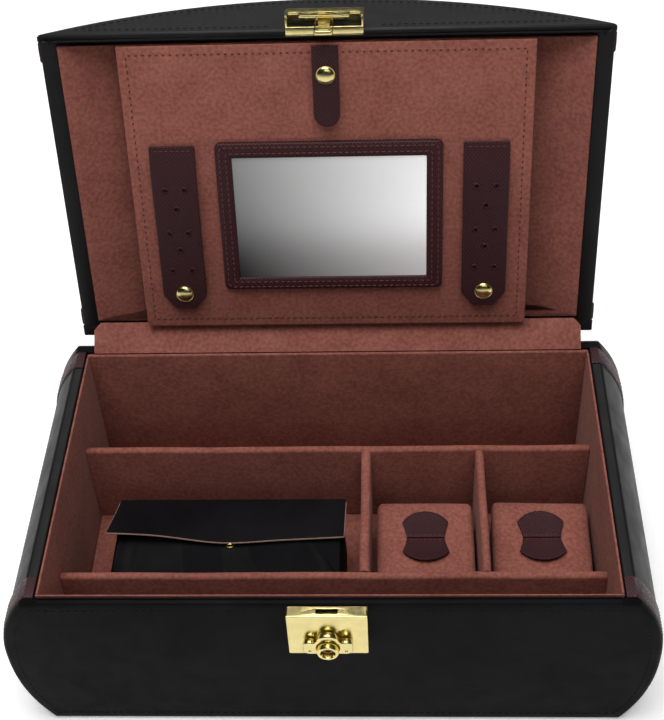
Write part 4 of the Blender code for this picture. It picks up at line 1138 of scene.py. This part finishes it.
def barrel():
    """The sleeve, the sprung button in it and the key plug in that."""
    outward = facing_front(0, LOCK_FRONT - 0.3, BARREL_Z)
    long = LOCK_FRONT - 0.3 - BARREL_FRONT
    profile = [(BARREL_BORE, 0.0), (BARREL_BORE, long - 0.3), (BARREL_BORE + 0.2, long), (BARREL_R - 0.3, long),
               (BARREL_R, long - 0.3), (BARREL_R, 0.0), (BARREL_BORE, 0.0)]
    piece("lock_barrel_brass", turned(profile, 56, outward), "gold_metal", "base", nodes=("lock_barrel",))
    head = long - 1.9
    stem_end = -4.4
    profile = [(PLUG_BORE, head - 1.6), (PLUG_BORE, head - 0.15), (PLUG_BORE + 0.2, head), (BUTTON_R - 0.3, head),
               (BUTTON_R, head - 0.3), (BUTTON_R, head - 1.7), (STEM_R, head - 1.7), (STEM_R, stem_end),
               (PLUG_BORE, stem_end), (PLUG_BORE, head - 1.6)]
    # The button and the key plug below take the darkened brass, which is painted shade of the bore.
    piece("lock_button_brass", turned(profile, 48, outward), "bore_shaded_brass", "button", nodes=("lock_button",))
    front = head - 0.4
    disc = arc((0, 0), 1.2, 0, 345, 23)
    slit = rectangle(-0.3, -0.85, 0.3, 0.85, 0.1, 2)[::-1]
    plug = cut_plate([disc, slit], front - 4.0, front, 0.15)
    plug.transform(outward)
    piece("key_plug_brass", plug, "bore_shaded_brass", "plug", nodes=("key_plug",))


def lens_outline():
    """The pointed oval opening in the lid lock's face."""
    half, low, middle, high = 7.7, LID_RIM + 0.9, LID_RIM + 2.6, LID_RIM + 5.2
    outline = []
    for peak, up in ((high, 1), (low, -1)):
        rise = abs(peak - middle)
        radius = (half ** 2 + rise ** 2) / (2 * rise)
        spread = degrees(asin(half / radius))
        outline += arc((0, peak - up * radius), radius, up * 90 - spread, up * 90 + spread, 16)[:-1]
    return outline


def lid_lock():
    """The lid's half of the lock, with the tongue that drops into the case below."""
    low, tall = LID_RIM + 0.1, LID_RIM + 4.6
    near, far, edge = 12.2, 17.8, LOCK_HALF
    right = [(near, low), (near, tall), (far, tall), (far, low), (edge, low), (edge, LID_LOCK_TOP)]
    notched = [(-x, z) for x, z in reversed(right[:5])] + right + [(-edge, LID_LOCK_TOP)]
    face = front_plate([fillet(notched, [0.3, 0.3, 0.9, 0.9, 0.4, 0.4, 0.9, 0.9, 0.3, 0.3, 1.4, 1.4], 4),
                        lens_outline()[::-1]], LID_LOCK_FRONT, LID_LOCK_FRONT + 1.1, 0.1)
    top = board((-LOCK_HALF, LID_LOCK_FRONT + 0.4, LID_LOCK_TOP - 1), (LOCK_HALF, LOCK_BACK, LID_LOCK_TOP), 0.35)
    walls = case_walls(LID_LOCK_FRONT, low, LID_LOCK_TOP - 0.2)
    flange = board((-LOCK_HALF, FRONT_FACE - 1.4, LID_RIM - 0.1),
                   (LOCK_HALF, FRONT_FACE + 3.1, LID_RIM + 0.7), 0.25)
    bead_x, bead_y, bead_low, bead_top = 17.6, LID_LOCK_FRONT + 0.45, LID_RIM + 5.6, LID_LOCK_TOP - 1.3
    bead = cord([(-bead_x, bead_y, bead_low), (-bead_x, bead_y, bead_top), (bead_x, bead_y, bead_top),
                 (bead_x, bead_y, bead_low)], 0.45, 8, False, Vector(BACKWARD))
    piece("lid_lock_brass", joined(face, top, flange, bead, *walls), "gold_metal", "lid", LID, ("lid_lock_cap",))
    bar_low, bar_high = LID_RIM + 6.8, LID_RIM + 8.8
    bar, half = 10, TONGUE_HALF
    outline = fillet([(-half, TONGUE_TIP), (half, TONGUE_TIP), (half, bar_low), (bar, bar_low), (bar, bar_high),
                      (-bar, bar_high), (-bar, bar_low), (-half, bar_low)], [1.6, 1.6] + [0.3] * 6, 5)
    windows = [rectangle(-2.7, RIM + a, 2.7, RIM + b, 0.5)[::-1]
               for a, b in ((-8.9, -5.0), (-2.4, 6.0))]
    bm = front_plate([outline] + windows, FRONT_FACE - 3.9, FRONT_FACE - 1.8, 0.35)
    piece("striker_tongue_brass", bm, "gold_metal", "lid", LID, ("striker_tongue",))


# ---- setting

def cad_finishes():
    """Finishes for the CAD nodes that still show."""
    slots = {part["node"]: part["material_slot"] for part in frame["record"]["subparts"]}
    for name, obj in frame["nodes"].items():
        if not obj.hide_render:
            obj.data.materials.clear()
            obj.data.materials.append(MATERIALS[slots[name]])


def floor():
    bm = bmesh.new()
    bmesh.ops.create_grid(bm, x_segments=8, y_segments=8, size=3.0)
    mesh = bpy.data.meshes.new("floor")
    bm.to_mesh(mesh)
    bm.free()
    mesh.materials.append(floor_finish())
    obj = placed("floor", mesh)


def area_light(name, place, target, size, power):
    data = bpy.data.lights.new(name, "AREA")
    data.shape = "RECTANGLE"
    data.size, data.size_y = size
    data.energy = power
    direction = Vector(target) - Vector(place)
    placed(name, data, Matrix.Translation(place) @ direction.to_track_quat("-Z", "Y").to_matrix().to_4x4())


def lights():
    world = bpy.data.worlds.new("studio")
    world.use_nodes = True
    nodes, links = world.node_tree.nodes, world.node_tree.links
    source = nodes.new("ShaderNodeTexCoord")
    ramp = nodes.new("ShaderNodeMapRange")
    lean = nodes.new("ShaderNodeVectorMath")
    lean.operation = "DOT_PRODUCT"
    lean.inputs[1].default_value = (0.0, 0.45, 0.75)
    for socket, number in zip(("From Min", "From Max", "To Min", "To Max"), (-0.15, 0.85, 0.08, 1.15)):
        ramp.inputs[socket].default_value = number
    links.new(source.outputs["Generated"], lean.inputs[0])
    links.new(lean.outputs["Value"], ramp.inputs["Value"])
    links.new(ramp.outputs["Result"], nodes["Background"].inputs["Strength"])
    bpy.context.scene.world = world
    area_light("overhead", (-0.1, -0.15, 1.5), (0, 0, 0), (1.2, 1.0), 21.0)
    area_light("behind", (0.0, 1.5, 1.45), (0, 0, 0.15), (1.6, 0.7), 14.0)
    area_light("front", (0.3, -1.5, 1.2), (0, 0, 0.1), (1.0, 0.7), 3.0)
    bpy.context.scene.view_settings.view_transform = "Standard"


def camera():
    data = bpy.data.cameras.new("camera")
    data.sensor_width = 36.0
    data.lens = 68.87
    data.shift_x = -0.0051
    azimuth, elevation, roll = (radians(a) for a in (-3.64, 44.74, -3.09))
    ahead = Vector((sin(azimuth) * cos(elevation), cos(azimuth) * cos(elevation),
                    -sin(elevation)))
    right = Vector((cos(azimuth), -sin(azimuth), 0.0))
    up = right.cross(ahead)
    across = cos(roll) * right + sin(roll) * up
    above = cos(roll) * up - sin(roll) * right
    turn = Matrix((across, above, -ahead)).transposed().to_4x4()
    obj = placed("camera", data, Matrix.Translation((0.0341, -0.4595, 0.6319)) @ turn)
    bpy.context.scene.camera = obj


for make in (base_panels, base_body, base_edging, linings, dividers, hinge_strip, lid_panels, lid_body,
             lid_edging, flap_panel, mirror, earring_straps, retaining_strap, pads, pull_tabs, pouch,
             pouch_cover, lock_case, escutcheon, barrel, lid_lock, cad_finishes, floor, lights, camera):
    make()
